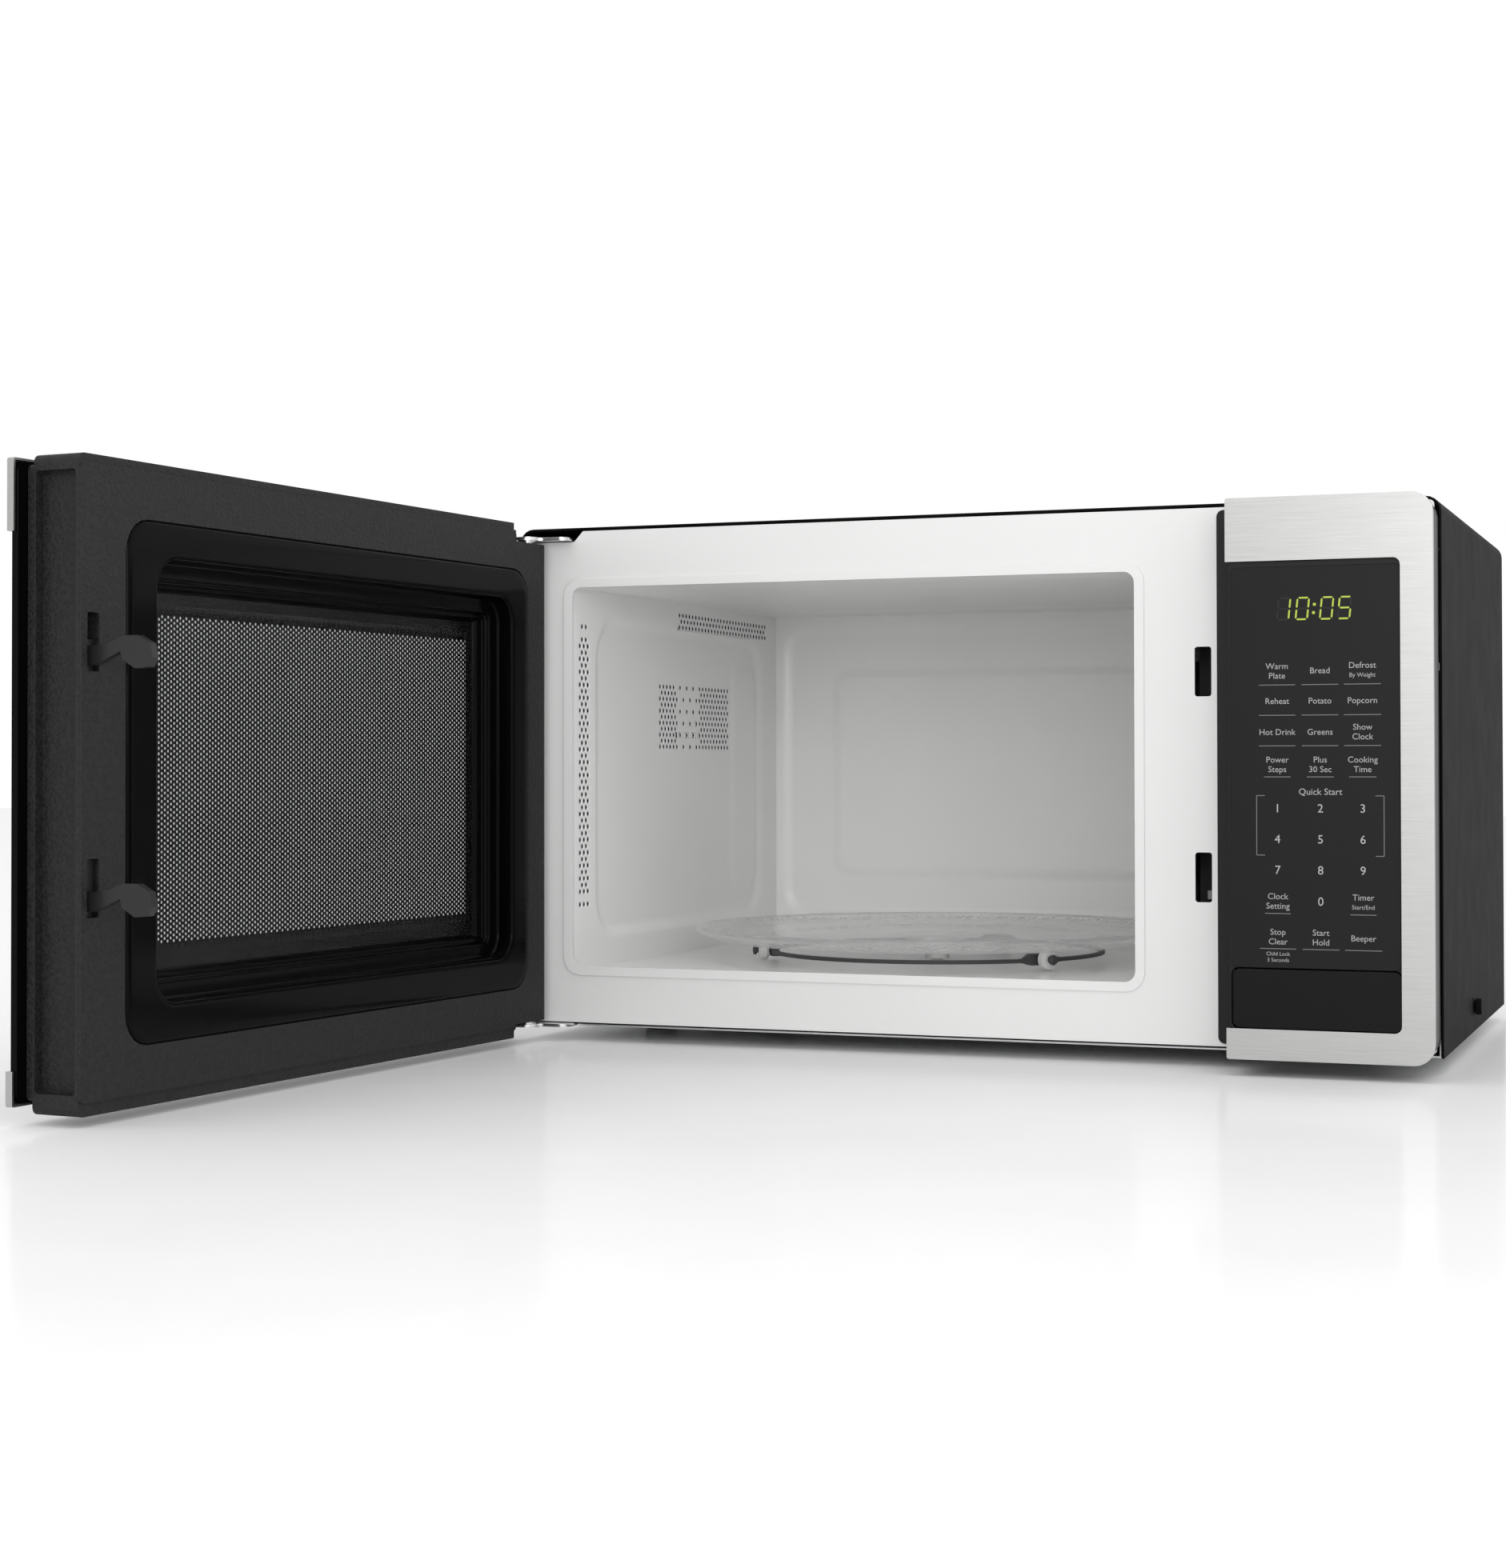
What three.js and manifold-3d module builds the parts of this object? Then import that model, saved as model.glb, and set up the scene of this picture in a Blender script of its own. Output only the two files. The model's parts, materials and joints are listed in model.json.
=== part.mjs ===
// Countertop microwave oven with its door standing open.
// Millimetres, +Z up, the front faces -Y. The origin is the middle of the base plate's underside.
// Every piece is drawn in corner coordinates: x from the left side, y behind the front face
// (negative in front of it), z above the base plate's underside. One group moves them all to the origin.

import * as THREE from 'three';
import { mergeVertices } from 'three/addons/utils/BufferGeometryUtils.js';
import Module from 'manifold-3d';

const wasm = await Module();
wasm.setup();

// ---------------------------------------------------------------- driving dimensions

const width = 451; // across the front
const bodyDepth = 282; // front face to the rear edge of the outer wrapper
const frontHeight = 247; // height of the door skin and of the control panel
const frontThickness = 32; // door and control panel, from the face to the outer skin
const panelWidth = 89.5; // control panel
const latchStrip = 42.5; // from the cavity's right wall to the control panel
const gap = 0.3; // between pieces that touch
const sheet = 1; // steel sheet
const plastic = 1.5; // plastic wall

const cavityLeft = 28.9; // left wall of the cavity
const cavityOverhang = 5; // the cavity reaches this far behind the wrapper
const floorHeight = 27; // cavity floor
const ceilingDrop = 28.7; // from the top of the front down to the ceiling
const openingSill = 2.8; // the opening's lower edge above the floor
const openingReturn = 5.4; // the opening's right edge inside the right wall
const wallEmboss = 2; // depth of the pressed panels in the cavity walls

const bezelTop = 28.1; // steel bar above the glass and the keys
const bezelBottom = 13.6; // steel bar below them
const bezelSide = 13.9; // steel bar beside them
const cornerRadius = 9; // outer corners of the front

const hingeX = 8.7; // hinge axis
const hingeY = -9.65;
const hingePinRadius = 3;
const doorOpenAngle = 94.2; // degrees, the angle at which the door stands
const doorGap = 1.4; // door's inner face to the front face
const doorRim = 3.3; // the door's rim stands above and below the steel skin
const panelGap = 1.7; // closed door to control panel

const hookThickness = 3.5;
const hookInset = 16.3; // middle of the hooks to the control panel's left edge
const upperHookZ = 165.6; // foot of the upper hook
const hookSpacing = 93.6; // lower hook below the upper one
const hookLift = 4; // travel of the latch plate

const trayClearance = 16; // glass tray to the nearest cavity wall
const trayThickness = 3.5;
const trayRimHeight = 3.8;
const rollerRadius = 5;
const rollerWidth = 5.5;
const ringHalfHeight = 2; // half the height of the roller ring's band
const rollerInset = 35.5; // roller track inside the tray's edge
const couplerRadius = 15;
const shaftRadius = 4;

const buttonTravel = 5;
const footHeight = 7.5;
const footRadius = 9;
const footSeat = 0.6; // the base plate is pressed up this far around each foot

const fanRadius = 44;
const coreSize = [84, 60, 70]; // transformer core

// ---------------------------------------------------------------- derived places

const left = 0;
const right = width;
const compartmentWidth = panelWidth + latchStrip;
const cavityRight = right - compartmentWidth;
const cavityBack = bodyDepth + cavityOverhang;
const cavityTop = frontHeight - ceilingDrop;
const openingBottom = floorHeight + openingSill;
const openingRight = cavityRight - openingReturn;
const faceBottom = 1.9;
const faceTop = frontHeight - 0.6;
const wrapperTop = frontHeight + 1.2;
const panelLeft = right - panelWidth;
const panelBodyLeft = panelLeft - 9.6;
const bezelInnerTop = frontHeight - bezelTop;
const doorRight = panelLeft - panelGap; // free edge of the door's steel skin
const doorFrameRight = panelLeft - 8.1; // free edge of the door's inner frame
const skinBack = -frontThickness + sheet; // back of the steel skin
const glassFront = skinBack - gap + 0.6;
const glassBack = glassFront + 3;
const frameFront = glassBack + gap;
const frameBack = -doorGap;
const screenY = -17.5; // perforated screen's inner face
const latchX = panelLeft - hookInset; // middle of the hooks and of their slots in the front face
const trayX = (cavityLeft + cavityRight) / 2;
const trayY = sheet + gap + (cavityBack - sheet - gap) / 2;
const trayRadius = Math.min(cavityRight - cavityLeft, cavityBack) / 2 - trayClearance;
const rollerTrack = trayRadius - rollerInset;
const trayBottom = floorHeight + gap + 2 * rollerRadius + gap;
const fanX = right - compartmentWidth / 2;
const fanZ = frontHeight - 82;
const magnetronBottom = frontHeight - 127;
const magnetronFront = bodyDepth - 164;

// ---------------------------------------------------------------- finishes

function finish(color, roughness, metalness) {
  return new THREE.MeshStandardMaterial({ color, roughness, metalness });
}

const whitePaint = finish(0xe6e6e4, 0.45, 0);
const blackPaint = finish(0x1f1f20, 0.5, 0.1);
const brushedSteel = finish(0xc8c8c6, 0.32, 1);
const zincSteel = finish(0xb4b6b8, 0.4, 1);
const grainedBlack = finish(0x3a3a3b, 0.75, 0);
const glossBlack = finish(0x141415, 0.2, 0);
const charcoal = finish(0x303031, 0.45, 0);
const clearGlass = finish(0xdfe6e6, 0.05, 0);
const whitePlastic = finish(0xececea, 0.5, 0);
const greyPlastic = finish(0x6a6b6c, 0.55, 0);
const copper = finish(0xb06a3c, 0.4, 1);
const laminate = finish(0x2f5a36, 0.6, 0);
const rubber = finish(0x1a1a1a, 0.9, 0);
const mica = finish(0xc9b99a, 0.8, 0);

// ---------------------------------------------------------------- solid helpers

function solid(geometry) {
  geometry.deleteAttribute('normal');
  geometry.deleteAttribute('uv');
  const merged = mergeVertices(geometry, 1e-5);
  return new wasm.Manifold(
    new wasm.Mesh({
      numProp: 3,
      vertProperties: new Float32Array(merged.attributes.position.array),
      triVerts: new Uint32Array(merged.index.array),
    })
  );
}

function geometryOf(body) {
  const mesh = body.getMesh();
  const geometry = new THREE.BufferGeometry();
  geometry.setAttribute('position', new THREE.BufferAttribute(mesh.vertProperties, 3));
  geometry.setIndex(new THREE.BufferAttribute(mesh.triVerts, 1));
  geometry.computeVertexNormals();
  return geometry;
}

function join(...bodies) {
  return bodies.reduce((sum, body) => sum.add(body));
}

function cut(body, ...tools) {
  return tools.reduce((rest, tool) => rest.subtract(tool), body);
}

function box(x0, x1, y0, y1, z0, z1) {
  const geometry = new THREE.BoxGeometry(x1 - x0, y1 - y0, z1 - z0);
  geometry.translate((x0 + x1) / 2, (y0 + y1) / 2, (z0 + z1) / 2);
  return solid(geometry);
}

// A cylinder along 'x', 'y' or 'z' from one end to the other, centred on the two other coordinates.
function rod(axis, from, to, a, b, radius, endRadius = radius, sides = 20) {
  const geometry = new THREE.CylinderGeometry(endRadius, radius, to - from, sides);
  geometry.translate(0, (from + to) / 2, 0);
  if (axis === 'x') geometry.rotateZ(-Math.PI / 2).translate(0, a, b);
  if (axis === 'y') geometry.translate(a, 0, b);
  if (axis === 'z') geometry.rotateX(Math.PI / 2).translate(a, b, 0);
  return solid(geometry);
}

// Corner radii run anticlockwise from the lower left corner.
function roundedShape(x0, x1, y0, y1, radii, steps = 4) {
  const four = Array.isArray(radii) ? radii : Array(4).fill(radii);
  const [lowerLeft, lowerRight, upperRight, upperLeft] = four;
  const corners = [
    [x0, y0, lowerLeft, Math.PI],
    [x1, y0, lowerRight, -Math.PI / 2],
    [x1, y1, upperRight, 0],
    [x0, y1, upperLeft, Math.PI / 2],
  ];
  const points = [];
  for (const [x, y, r, start] of corners) {
    if (r === 0) {
      points.push(new THREE.Vector2(x, y));
      continue;
    }
    const cx = x === x0 ? x + r : x - r;
    const cy = y === y0 ? y + r : y - r;
    for (let i = 0; i <= steps; i++) {
      const angle = start + ((i / steps) * Math.PI) / 2;
      points.push(new THREE.Vector2(cx + r * Math.cos(angle), cy + r * Math.sin(angle)));
    }
  }
  return new THREE.Shape(points);
}

function outline(...points) {
  return new THREE.Shape(points.map(([a, b]) => new THREE.Vector2(a, b)));
}

function extruded(shape, depth, curveSegments = 6) {
  return new THREE.ExtrudeGeometry(shape, { depth, bevelEnabled: false, curveSegments });
}

// Plates: a shape in the x-z plane with a thickness in y, and so on.
function plateXZ(shape, y0, y1) {
  return solid(extruded(shape, y1 - y0).rotateX(Math.PI / 2).translate(0, y1, 0));
}

function plateXY(shape, z0, z1) {
  return solid(extruded(shape, z1 - z0).translate(0, 0, z0));
}

function plateYZ(shape, x0, x1) {
  const turn = new THREE.Matrix4().makeBasis(
    new THREE.Vector3(0, 1, 0),
    new THREE.Vector3(0, 0, 1),
    new THREE.Vector3(1, 0, 0)
  );
  return solid(extruded(shape, x1 - x0).applyMatrix4(turn).translate(x0, 0, 0));
}

function lathe(points, sides, x, y) {
  const profile = points.map(([r, z]) => new THREE.Vector2(r, z));
  return solid(new THREE.LatheGeometry(profile, sides).rotateX(Math.PI / 2).translate(x, y, 0));
}

function around(count, make) {
  return Array.from({ length: count }, (_, i) => make((i * 2 * Math.PI) / count, i));
}

// A coil spring between two ends. `at` turns its two cross coordinates and its height into a point.
function spring([from, to], { turns, coil, wire, sides }, at) {
  class Helix extends THREE.Curve {
    getPoint(t) {
      const angle = t * turns * 2 * Math.PI;
      const along = from + wire + t * (to - from - 2 * wire);
      return at(coil * Math.cos(angle), coil * Math.sin(angle), along);
    }
  }
  const ring = around(sides, (a) => new THREE.Vector2(wire * Math.cos(a), wire * Math.sin(a)));
  const options = { steps: 60, extrudePath: new Helix() };
  return solid(new THREE.ExtrudeGeometry(new THREE.Shape(ring), options));
}

// ---------------------------------------------------------------- assembly groups

const oven = new THREE.Group();
oven.position.set(-width / 2, -bodyDepth / 2, 0);

const doorPivot = new THREE.Group();
doorPivot.position.set(hingeX, hingeY, 0);
doorPivot.rotation.z = THREE.MathUtils.degToRad(-doorOpenAngle);
const door = new THREE.Group();
door.position.set(-hingeX, -hingeY, 0);
doorPivot.add(door);
oven.add(doorPivot);

function add(name, body, material, parent = oven) {
  const mesh = new THREE.Mesh(geometryOf(body), material);
  mesh.name = name;
  parent.add(mesh);
  return mesh;
}

// ---------------------------------------------------------------- chassis

const hingeNotch = { right: 30, side: 33.3, diagonal: 5.7, bottom: faceTop - 5.2 };
const footPlaces = [
  ['front_left', 45, 75],
  ['front_right', width - 45, 75],
  ['rear_left', 45, bodyDepth - 32],
  ['rear_right', width - 45, bodyDepth - 32],
];
const sideScrew = { y: 130, z: 12, radius: 1.8 };

function basePlate() {
  const flangeHeight = 18;
  const x0 = left + sheet + gap;
  const x1 = right - sheet - gap;
  const y0 = 3;
  const y1 = bodyDepth - 3;
  const plate = join(
    box(x0, x1, y0, y1, 0, sheet),
    box(x0, x0 + sheet, y0, y1, 0, flangeHeight),
    box(x1 - sheet, x1, y0, y1, 0, flangeHeight)
  );
  const hingeCorner = box(-1, hingeNotch.right + gap, -1, 13, -1, flangeHeight + 1);
  const vents = [];
  for (let i = 0; i < 9; i++) {
    vents.push(box(cavityRight + 12, cavityRight + 42, 60 + i * 8, 64 + i * 8, -1, 2));
  }
  const seats = footPlaces.map(([, x, y]) => rod('z', 0, footSeat + sheet, x, y, footRadius + 3));
  const recesses = footPlaces.map(([, x, y]) => rod('z', -1, footSeat, x, y, footRadius + 2));
  const stems = footPlaces.map(([, x, y]) => rod('z', -1, 3, x, y, 3, 3, 12));
  const screws = rod('x', -1, right + 1, sideScrew.y, sideScrew.z, sideScrew.radius + gap, undefined, 12);
  return cut(join(plate, ...seats), hingeCorner, ...vents, ...recesses, ...stems, screws);
}

function foot(x, y) {
  const barbStart = footSeat + sheet + gap;
  const pad = rod('z', -footHeight, footSeat - gap, x, y, footRadius - 1, footRadius, 24);
  const stem = rod('z', -1, barbStart + 2.7, x, y, 2.6, undefined, 12);
  const barb = rod('z', barbStart, barbStart + 2.7, x, y, 3.6, 2.2, 12);
  return join(pad, stem, barb);
}

function frontPlate() {
  const rail = 1.3;
  const skin = plateXZ(roundedShape(1, width - 3, faceBottom, faceTop, 2), 0, sheet);
  const opening = plateXZ(roundedShape(cavityLeft, openingRight, openingBottom, cavityTop, 5), -2, 3);
  const bead = cut(
    plateXZ(
      roundedShape(cavityLeft - 4.5, openingRight + 4.5, openingBottom - 4.5, cavityTop + 4.5, 9), -0.8, 0.5
    ),
    opening
  );
  const panelCut = plateXZ(
    roundedShape(panelBodyLeft - gap, width - 6, faceBottom + rail, faceTop - rail, 3), -2, 3
  );
  const slots = latchSlots(-2, 3, 0);
  const notch = plateXZ(
    outline(
      [-5, hingeNotch.bottom], [hingeNotch.right, hingeNotch.bottom],
      [hingeNotch.right + hingeNotch.diagonal, faceTop + 1], [-5, faceTop + 1]
    ), -2, 3
  );
  const topFlange = box(hingeNotch.right + 6, width - 8, 0.5, 12, faceTop - sheet, faceTop);
  const bottomFlange = box(hingeNotch.right + 6, width - 8, 0.5, 2.6, faceBottom, faceBottom + sheet);
  return cut(join(cut(skin, opening, panelCut), bead, topFlange, bottomFlange), notch, ...slots);
}

// The two slots that the door's hooks enter, grown by a margin.
function latchSlots(y0, y1, margin) {
  const half = 3.8 + margin;
  return [upperHookZ, upperHookZ - hookSpacing].map((z) =>
    plateXZ(
      roundedShape(latchX - half, latchX + half, z - 5 - margin, z + 13.6 + hookLift + margin, 1.2), y0, y1
    )
  );
}

function cavityShell() {
  const y0 = sheet + gap;
  const outer = box(
    cavityLeft - sheet, cavityRight + sheet, y0, cavityBack + sheet, floorHeight - sheet, cavityTop + sheet
  );
  const inner = box(cavityLeft, cavityRight, y0 - 1, cavityBack, floorHeight, cavityTop);
  const panelInset = 16;
  const sideBump = (grow) =>
    plateYZ(
      roundedShape(30 - grow, cavityBack - 27 + grow, floorHeight + 18 - grow, cavityTop - 15 + grow, 18),
      cavityLeft - wallEmboss - grow, cavityLeft + 2
    );
  const rearBump = (grow) =>
    plateXZ(
      roundedShape(
        cavityLeft + 7 - grow, cavityRight - 7 + grow,
        floorHeight + panelInset - grow, cavityTop - 8 + grow, 12
      ),
      cavityBack - 2, cavityBack + wallEmboss + grow
    );
  const shaftHole = rod('z', floorHeight - 3, floorHeight + 3, trayX, trayY, shaftRadius + 3);
  const wave = box(
    cavityRight - 2, cavityRight + 3,
    magnetronFront + 12, magnetronFront + 52, magnetronBottom - 18, magnetronBottom + 42
  );
  const lampHoles = lampPlaces().map(([y, z]) =>
    rod('x', cavityRight - 2, cavityRight + 3, y, z, 1.6, undefined, 8)
  );
  const exhaust = [];
  for (let i = 0; i < 10; i++) {
    const z = floorHeight + 32 + i * 14.5;
    exhaust.push(rod('x', cavityLeft - 5, cavityLeft + 3, 14, z, 2.2, undefined, 8));
  }
  return cut(
    join(outer, sideBump(sheet), rearBump(sheet)),
    inner, sideBump(0), rearBump(0), shaftHole, wave, ...lampHoles, ...exhaust
  );
}

const lamp = { y: 70, z: cavityTop - 24 };

function lampPlaces() {
  const offsets = [-6, 0, 6];
  return offsets.flatMap((dy) => offsets.map((dz) => [lamp.y + dy, lamp.z + dz]));
}

function outerWrapper() {
  const y0 = gap;
  const outerShape = roundedShape(left, right, 0, wrapperTop, [0, 0, 7, 7], 5);
  const innerShape = roundedShape(left + sheet, right - sheet, -2, wrapperTop - sheet, [0, 0, 6, 6], 5);
  const skin = cut(plateXZ(outerShape, y0, bodyDepth), plateXZ(innerShape, y0 - 1, bodyDepth + 1));
  const vents = [];
  for (let i = 0; i < 10; i++) {
    const y = bodyDepth - 40 - i * 7;
    vents.push(box(left - 1, left + 2, y, y + 3, frontHeight - 75, frontHeight - 35));
  }
  const screws = rod('x', left - 1, right + 1, sideScrew.y, sideScrew.z, sideScrew.radius + gap, undefined, 12);
  return cut(skin, ...vents, screws);
}

function wrapperScrew(side) {
  const outside = side > 0 ? right + gap : left - gap;
  const between = (a, b, radius, sides) =>
    rod('x', Math.min(a, b), Math.max(a, b), sideScrew.y, sideScrew.z, radius, undefined, sides);
  const head = between(outside, outside + side * 3.2, 4, 16);
  const shank = between(outside + side, outside - side * 9, sideScrew.radius, 12);
  return join(head, shank);
}

const gland = { x: width - 28, z: 24, radius: 6 };

function rearPanel() {
  const y1 = bodyDepth - 1;
  const y0 = y1 - sheet;
  const bulge = { x0: cavityLeft - 6, x1: cavityRight + 6, z0: floorHeight - 8, z1: cavityTop + 8 };
  const bulgeBack = cavityBack + wallEmboss + sheet + gap + sheet;
  const bulgeShape = (inset) =>
    roundedShape(bulge.x0 + inset, bulge.x1 - inset, bulge.z0 + inset, bulge.z1 - inset, 10 - inset);
  const plate = plateXZ(
    roundedShape(left + 1.4, right - 1.4, sheet + gap, wrapperTop - 1.4, [0, 0, 5, 5]), y0, y1
  );
  const vents = [];
  for (let i = 0; i < 9; i++) {
    const middle = fanZ + (i - 4) * 9;
    const half = Math.sqrt(40 ** 2 - (middle - fanZ) ** 2);
    const slot = roundedShape(fanX - half, fanX + half, middle - 2, middle + 2, 1.9, 2);
    vents.push(plateXZ(slot, y0 - 1, y1 + 1));
  }
  const cordHole = rod('y', y0 - 1, y1 + 1, gland.x, gland.z, gland.radius + gap, undefined, 20);
  return cut(
    join(plate, plateXZ(bulgeShape(0), y0, bulgeBack)),
    plateXZ(bulgeShape(sheet), y0 - 1, bulgeBack - sheet), ...vents, cordHole
  );
}

function cordGland() {
  const y1 = bodyDepth - 1;
  const body = rod('y', y1 - 6, y1 + 5, gland.x, gland.z, gland.radius);
  const collar = rod('y', y1 + gap, y1 + 5, gland.x, gland.z, gland.radius + 3, gland.radius + 2);
  const nut = rod('y', y1 - 6, y1 - sheet - gap, gland.x, gland.z, gland.radius + 3, undefined, 6);
  const bore = rod('y', y1 - 8, y1 + 7, gland.x, gland.z, 3.6);
  return cut(join(body, collar, nut), bore);
}

// A bracket with a pin. Its tab stands out of the body on the hinge axis.
function hinge(z0, z1, pinEnd) {
  const tab = join(
    plateXY(roundedShape(hingeX - 7, hingeNotch.right - 0.6, hingeY + 1, 12.5, [1, 4, 1, 1]), z0, z1),
    rod('z', z0, z1, hingeX, hingeY, 7)
  );
  const boss = rod('z', z0 - (pinEnd < z0 ? 0.6 : 0), z1 + (pinEnd > z0 ? 0.6 : 0), hingeX, hingeY, 4.6);
  const pin = rod('z', Math.min(z0, pinEnd), Math.max(z1, pinEnd), hingeX, hingeY, hingePinRadius);
  const screwHole = rod('z', z0 - 2, z1 + 2, 22, 7, 1.8, undefined, 12);
  return cut(join(tab, boss, pin), screwHole);
}

add('base_plate', basePlate(), zincSteel);
for (const [place, x, y] of footPlaces) add(`foot_${place}`, foot(x, y), rubber);
add('front_plate', frontPlate(), whitePaint);
add('cavity_shell', cavityShell(), whitePaint);
add('outer_wrapper', outerWrapper(), blackPaint);
add('wrapper_screw_right', wrapperScrew(1), blackPaint);
add('wrapper_screw_left', wrapperScrew(-1), blackPaint);
add('rear_panel', rearPanel(), blackPaint);
add('cord_gland', cordGland(), rubber);
const upperHingeZ = hingeNotch.bottom + gap;
add('hinge_upper', hinge(upperHingeZ, upperHingeZ + 1.6, hingeNotch.bottom - 12), zincSteel);
add('hinge_lower', hinge(0, 1.5, 13), zincSteel);

// ---------------------------------------------------------------- turntable

function turntableMotor() {
  const top = floorHeight - sheet - gap;
  const can = rod('z', top - 17, top, trayX, trayY, 24);
  const ears = box(trayX - 31, trayX + 31, trayY - 6, trayY + 6, top - 1.5, top);
  const shaftHole = rod('z', top - 8, top + 1, trayX, trayY, 3.3, undefined, 12);
  return cut(join(can, ears), shaftHole);
}

function driveCoupler() {
  const shaft = rod('z', floorHeight - 8, floorHeight + 4, trayX, trayY, 3, undefined, 12);
  const sleeve = rod('z', floorHeight + 0.6, trayBottom - gap, trayX, trayY, shaftRadius + 2.5);
  const lobes = around(3, (angle) => {
    const reach = couplerRadius - 4.5;
    const arm = box(0, reach, -3.5, 3.5, trayBottom - 6, trayBottom - gap);
    const tip = rod('z', trayBottom - 6, trayBottom - gap, reach, 0, 4.5, undefined, 14);
    return join(arm, tip).rotate([0, 0, THREE.MathUtils.radToDeg(angle)]).translate([trayX, trayY, 0]);
  });
  return join(sleeve, shaft, ...lobes);
}

function glassTray() {
  const z0 = trayBottom;
  const z1 = z0 + trayThickness;
  const rim = trayRadius - 11;
  const hub = couplerRadius + 1.5;
  const dish = lathe(
    [
      [0, z0], [hub, z0], [hub, z0 - 4], [hub + 3, z0 - 4], [hub + 4, z0], [rim, z0],
      [trayRadius - 1.5, z0 + trayRimHeight], [trayRadius, z0 + trayRimHeight + 1.5],
      [trayRadius - 1, z1 + trayRimHeight], [trayRadius - 3, z1 + trayRimHeight],
      [rim + 1, z1], [0, z1],
    ], 64, trayX, trayY
  );
  return dish;
}

const ringOuter = rollerTrack - rollerWidth / 2 - 1.2;
const rollerZ = floorHeight + gap + rollerRadius;
const rollerAngles = [204, 324, 84]; // degrees

function rollerRing() {
  const band = lathe(
    [
      [ringOuter - 5, rollerZ - ringHalfHeight], [ringOuter, rollerZ - ringHalfHeight],
      [ringOuter, rollerZ + ringHalfHeight], [ringOuter - 5, rollerZ + ringHalfHeight],
      [ringOuter - 5, rollerZ - ringHalfHeight],
    ], 60, trayX, trayY
  );
  const rollerOuter = rollerTrack + rollerWidth / 2;
  const axles = rollerAngles.map((angle) => {
    const axle = rod('x', ringOuter - 2, rollerOuter + 3, 0, rollerZ, 1.6, undefined, 12);
    const cap = rod('x', rollerOuter + 0.8, rollerOuter + 3, 0, rollerZ, 2.6);
    const shoulder = rod('x', ringOuter - 3, ringOuter + 0.7, 0, rollerZ, ringHalfHeight + 1.3);
    return join(axle, cap, shoulder).rotate([0, 0, angle]).translate([trayX, trayY, 0]);
  });
  return join(band, ...axles);
}

function roller(angle) {
  const x0 = rollerTrack - rollerWidth / 2;
  const x1 = rollerTrack + rollerWidth / 2;
  const tread = rod('x', x0 + 0.8, x1 - 0.8, 0, 0, rollerRadius, undefined, 28);
  const shoulder = rod('x', x0, x1, 0, 0, rollerRadius - 1.2, undefined, 28);
  const bore = rod('x', x0 - 1, x1 + 1, 0, 0, 1.6 + gap, undefined, 12);
  const wheel = cut(join(tread, shoulder), bore).translate([0, 0, rollerZ]);
  return wheel.rotate([0, 0, angle]).translate([trayX, trayY, 0]);
}

add('turntable_motor', turntableMotor(), zincSteel);
add('drive_coupler', driveCoupler(), whitePlastic);
add('glass_tray', glassTray(), clearGlass);
add('roller_ring', rollerRing(), greyPlastic);
rollerAngles.forEach((angle, i) => add(`roller_${i + 1}`, roller(angle), whitePlastic));

// ---------------------------------------------------------------- electrical compartment

const guide = {
  x0: cavityRight + sheet + gap, x1: cavityRight + sheet + gap + 28,
  y0: magnetronFront + 8, y1: magnetronFront + 56, z0: magnetronBottom - 24, z1: magnetronBottom + 78,
};
const magnetronLeft = guide.x1 + gap + 6;
const antenna = { y: magnetronFront + 35, z: magnetronBottom + 34 };

function waveguide() {
  const outer = box(guide.x0, guide.x1, guide.y0, guide.y1, guide.z0, guide.z1);
  const inner = box(
    guide.x0 + sheet, guide.x1 - sheet, guide.y0 + sheet, guide.y1 - sheet,
    guide.z0 + sheet, guide.z1 - sheet
  );
  const slot = box(guide.x0 - 1, guide.x0 + 2, guide.y0 + 6, guide.y1 - 6, guide.z0 + 8, guide.z0 + 60);
  const antennaHole = rod('x', guide.x1 - 2, guide.x1 + 1, antenna.y, antenna.z, 10);
  return cut(outer, inner, slot, antennaHole);
}

function waveguideCover() {
  return plateYZ(
    roundedShape(magnetronFront + 9, magnetronFront + 55, magnetronBottom - 22, magnetronBottom + 46, 2),
    cavityRight - gap - 0.6, cavityRight - gap
  );
}

function magnetron() {
  const x0 = magnetronLeft;
  const { y, z } = antenna;
  const core = rod('x', x0, x0 + 66, y, z, 17, undefined, 24);
  const fins = [];
  for (let i = 0; i < 7; i++) {
    fins.push(plateYZ(roundedShape(y - 28, y + 28, z - 30, z + 30, 2, 2), x0 + 12 + i * 7, x0 + 13 + i * 7));
  }
  const dome = rod('x', guide.x1 - 20, x0 + 1, y, z, 8, undefined, 20);
  const filterBox = box(x0 + 62, x0 + 79, y - 20, y + 20, z - 22, z + 22);
  return join(core, dome, filterBox, ...fins);
}

function magnetronYoke() {
  const { y, z } = antenna;
  const x0 = magnetronLeft + gap;
  const outer = box(x0, x0 + 60, y - 33, y + 33, z - 33, z + 33);
  const inner = box(x0 + 2, x0 + 58, y - 34, y + 34, z - 31, z + 31);
  const bore = rod('x', x0 - 1, x0 + 61, y, z, 17 + gap, undefined, 24);
  return cut(outer, inner, bore);
}

const core = { x: right - 14 - coreSize[0], y: bodyDepth - 190, z: sheet + gap };

function transformerCore() {
  const [w, d, h] = coreSize;
  const y0 = core.y + 12;
  const block = box(core.x, core.x + w, y0, y0 + d - 12, core.z, core.z + h);
  const windows = [core.x + 14, core.x + w / 2 + 8].map((x) =>
    box(x, x + w / 2 - 22, y0 - 1, y0 + d, core.z + 15, core.z + h - 15)
  );
  return cut(block, ...windows);
}

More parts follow.
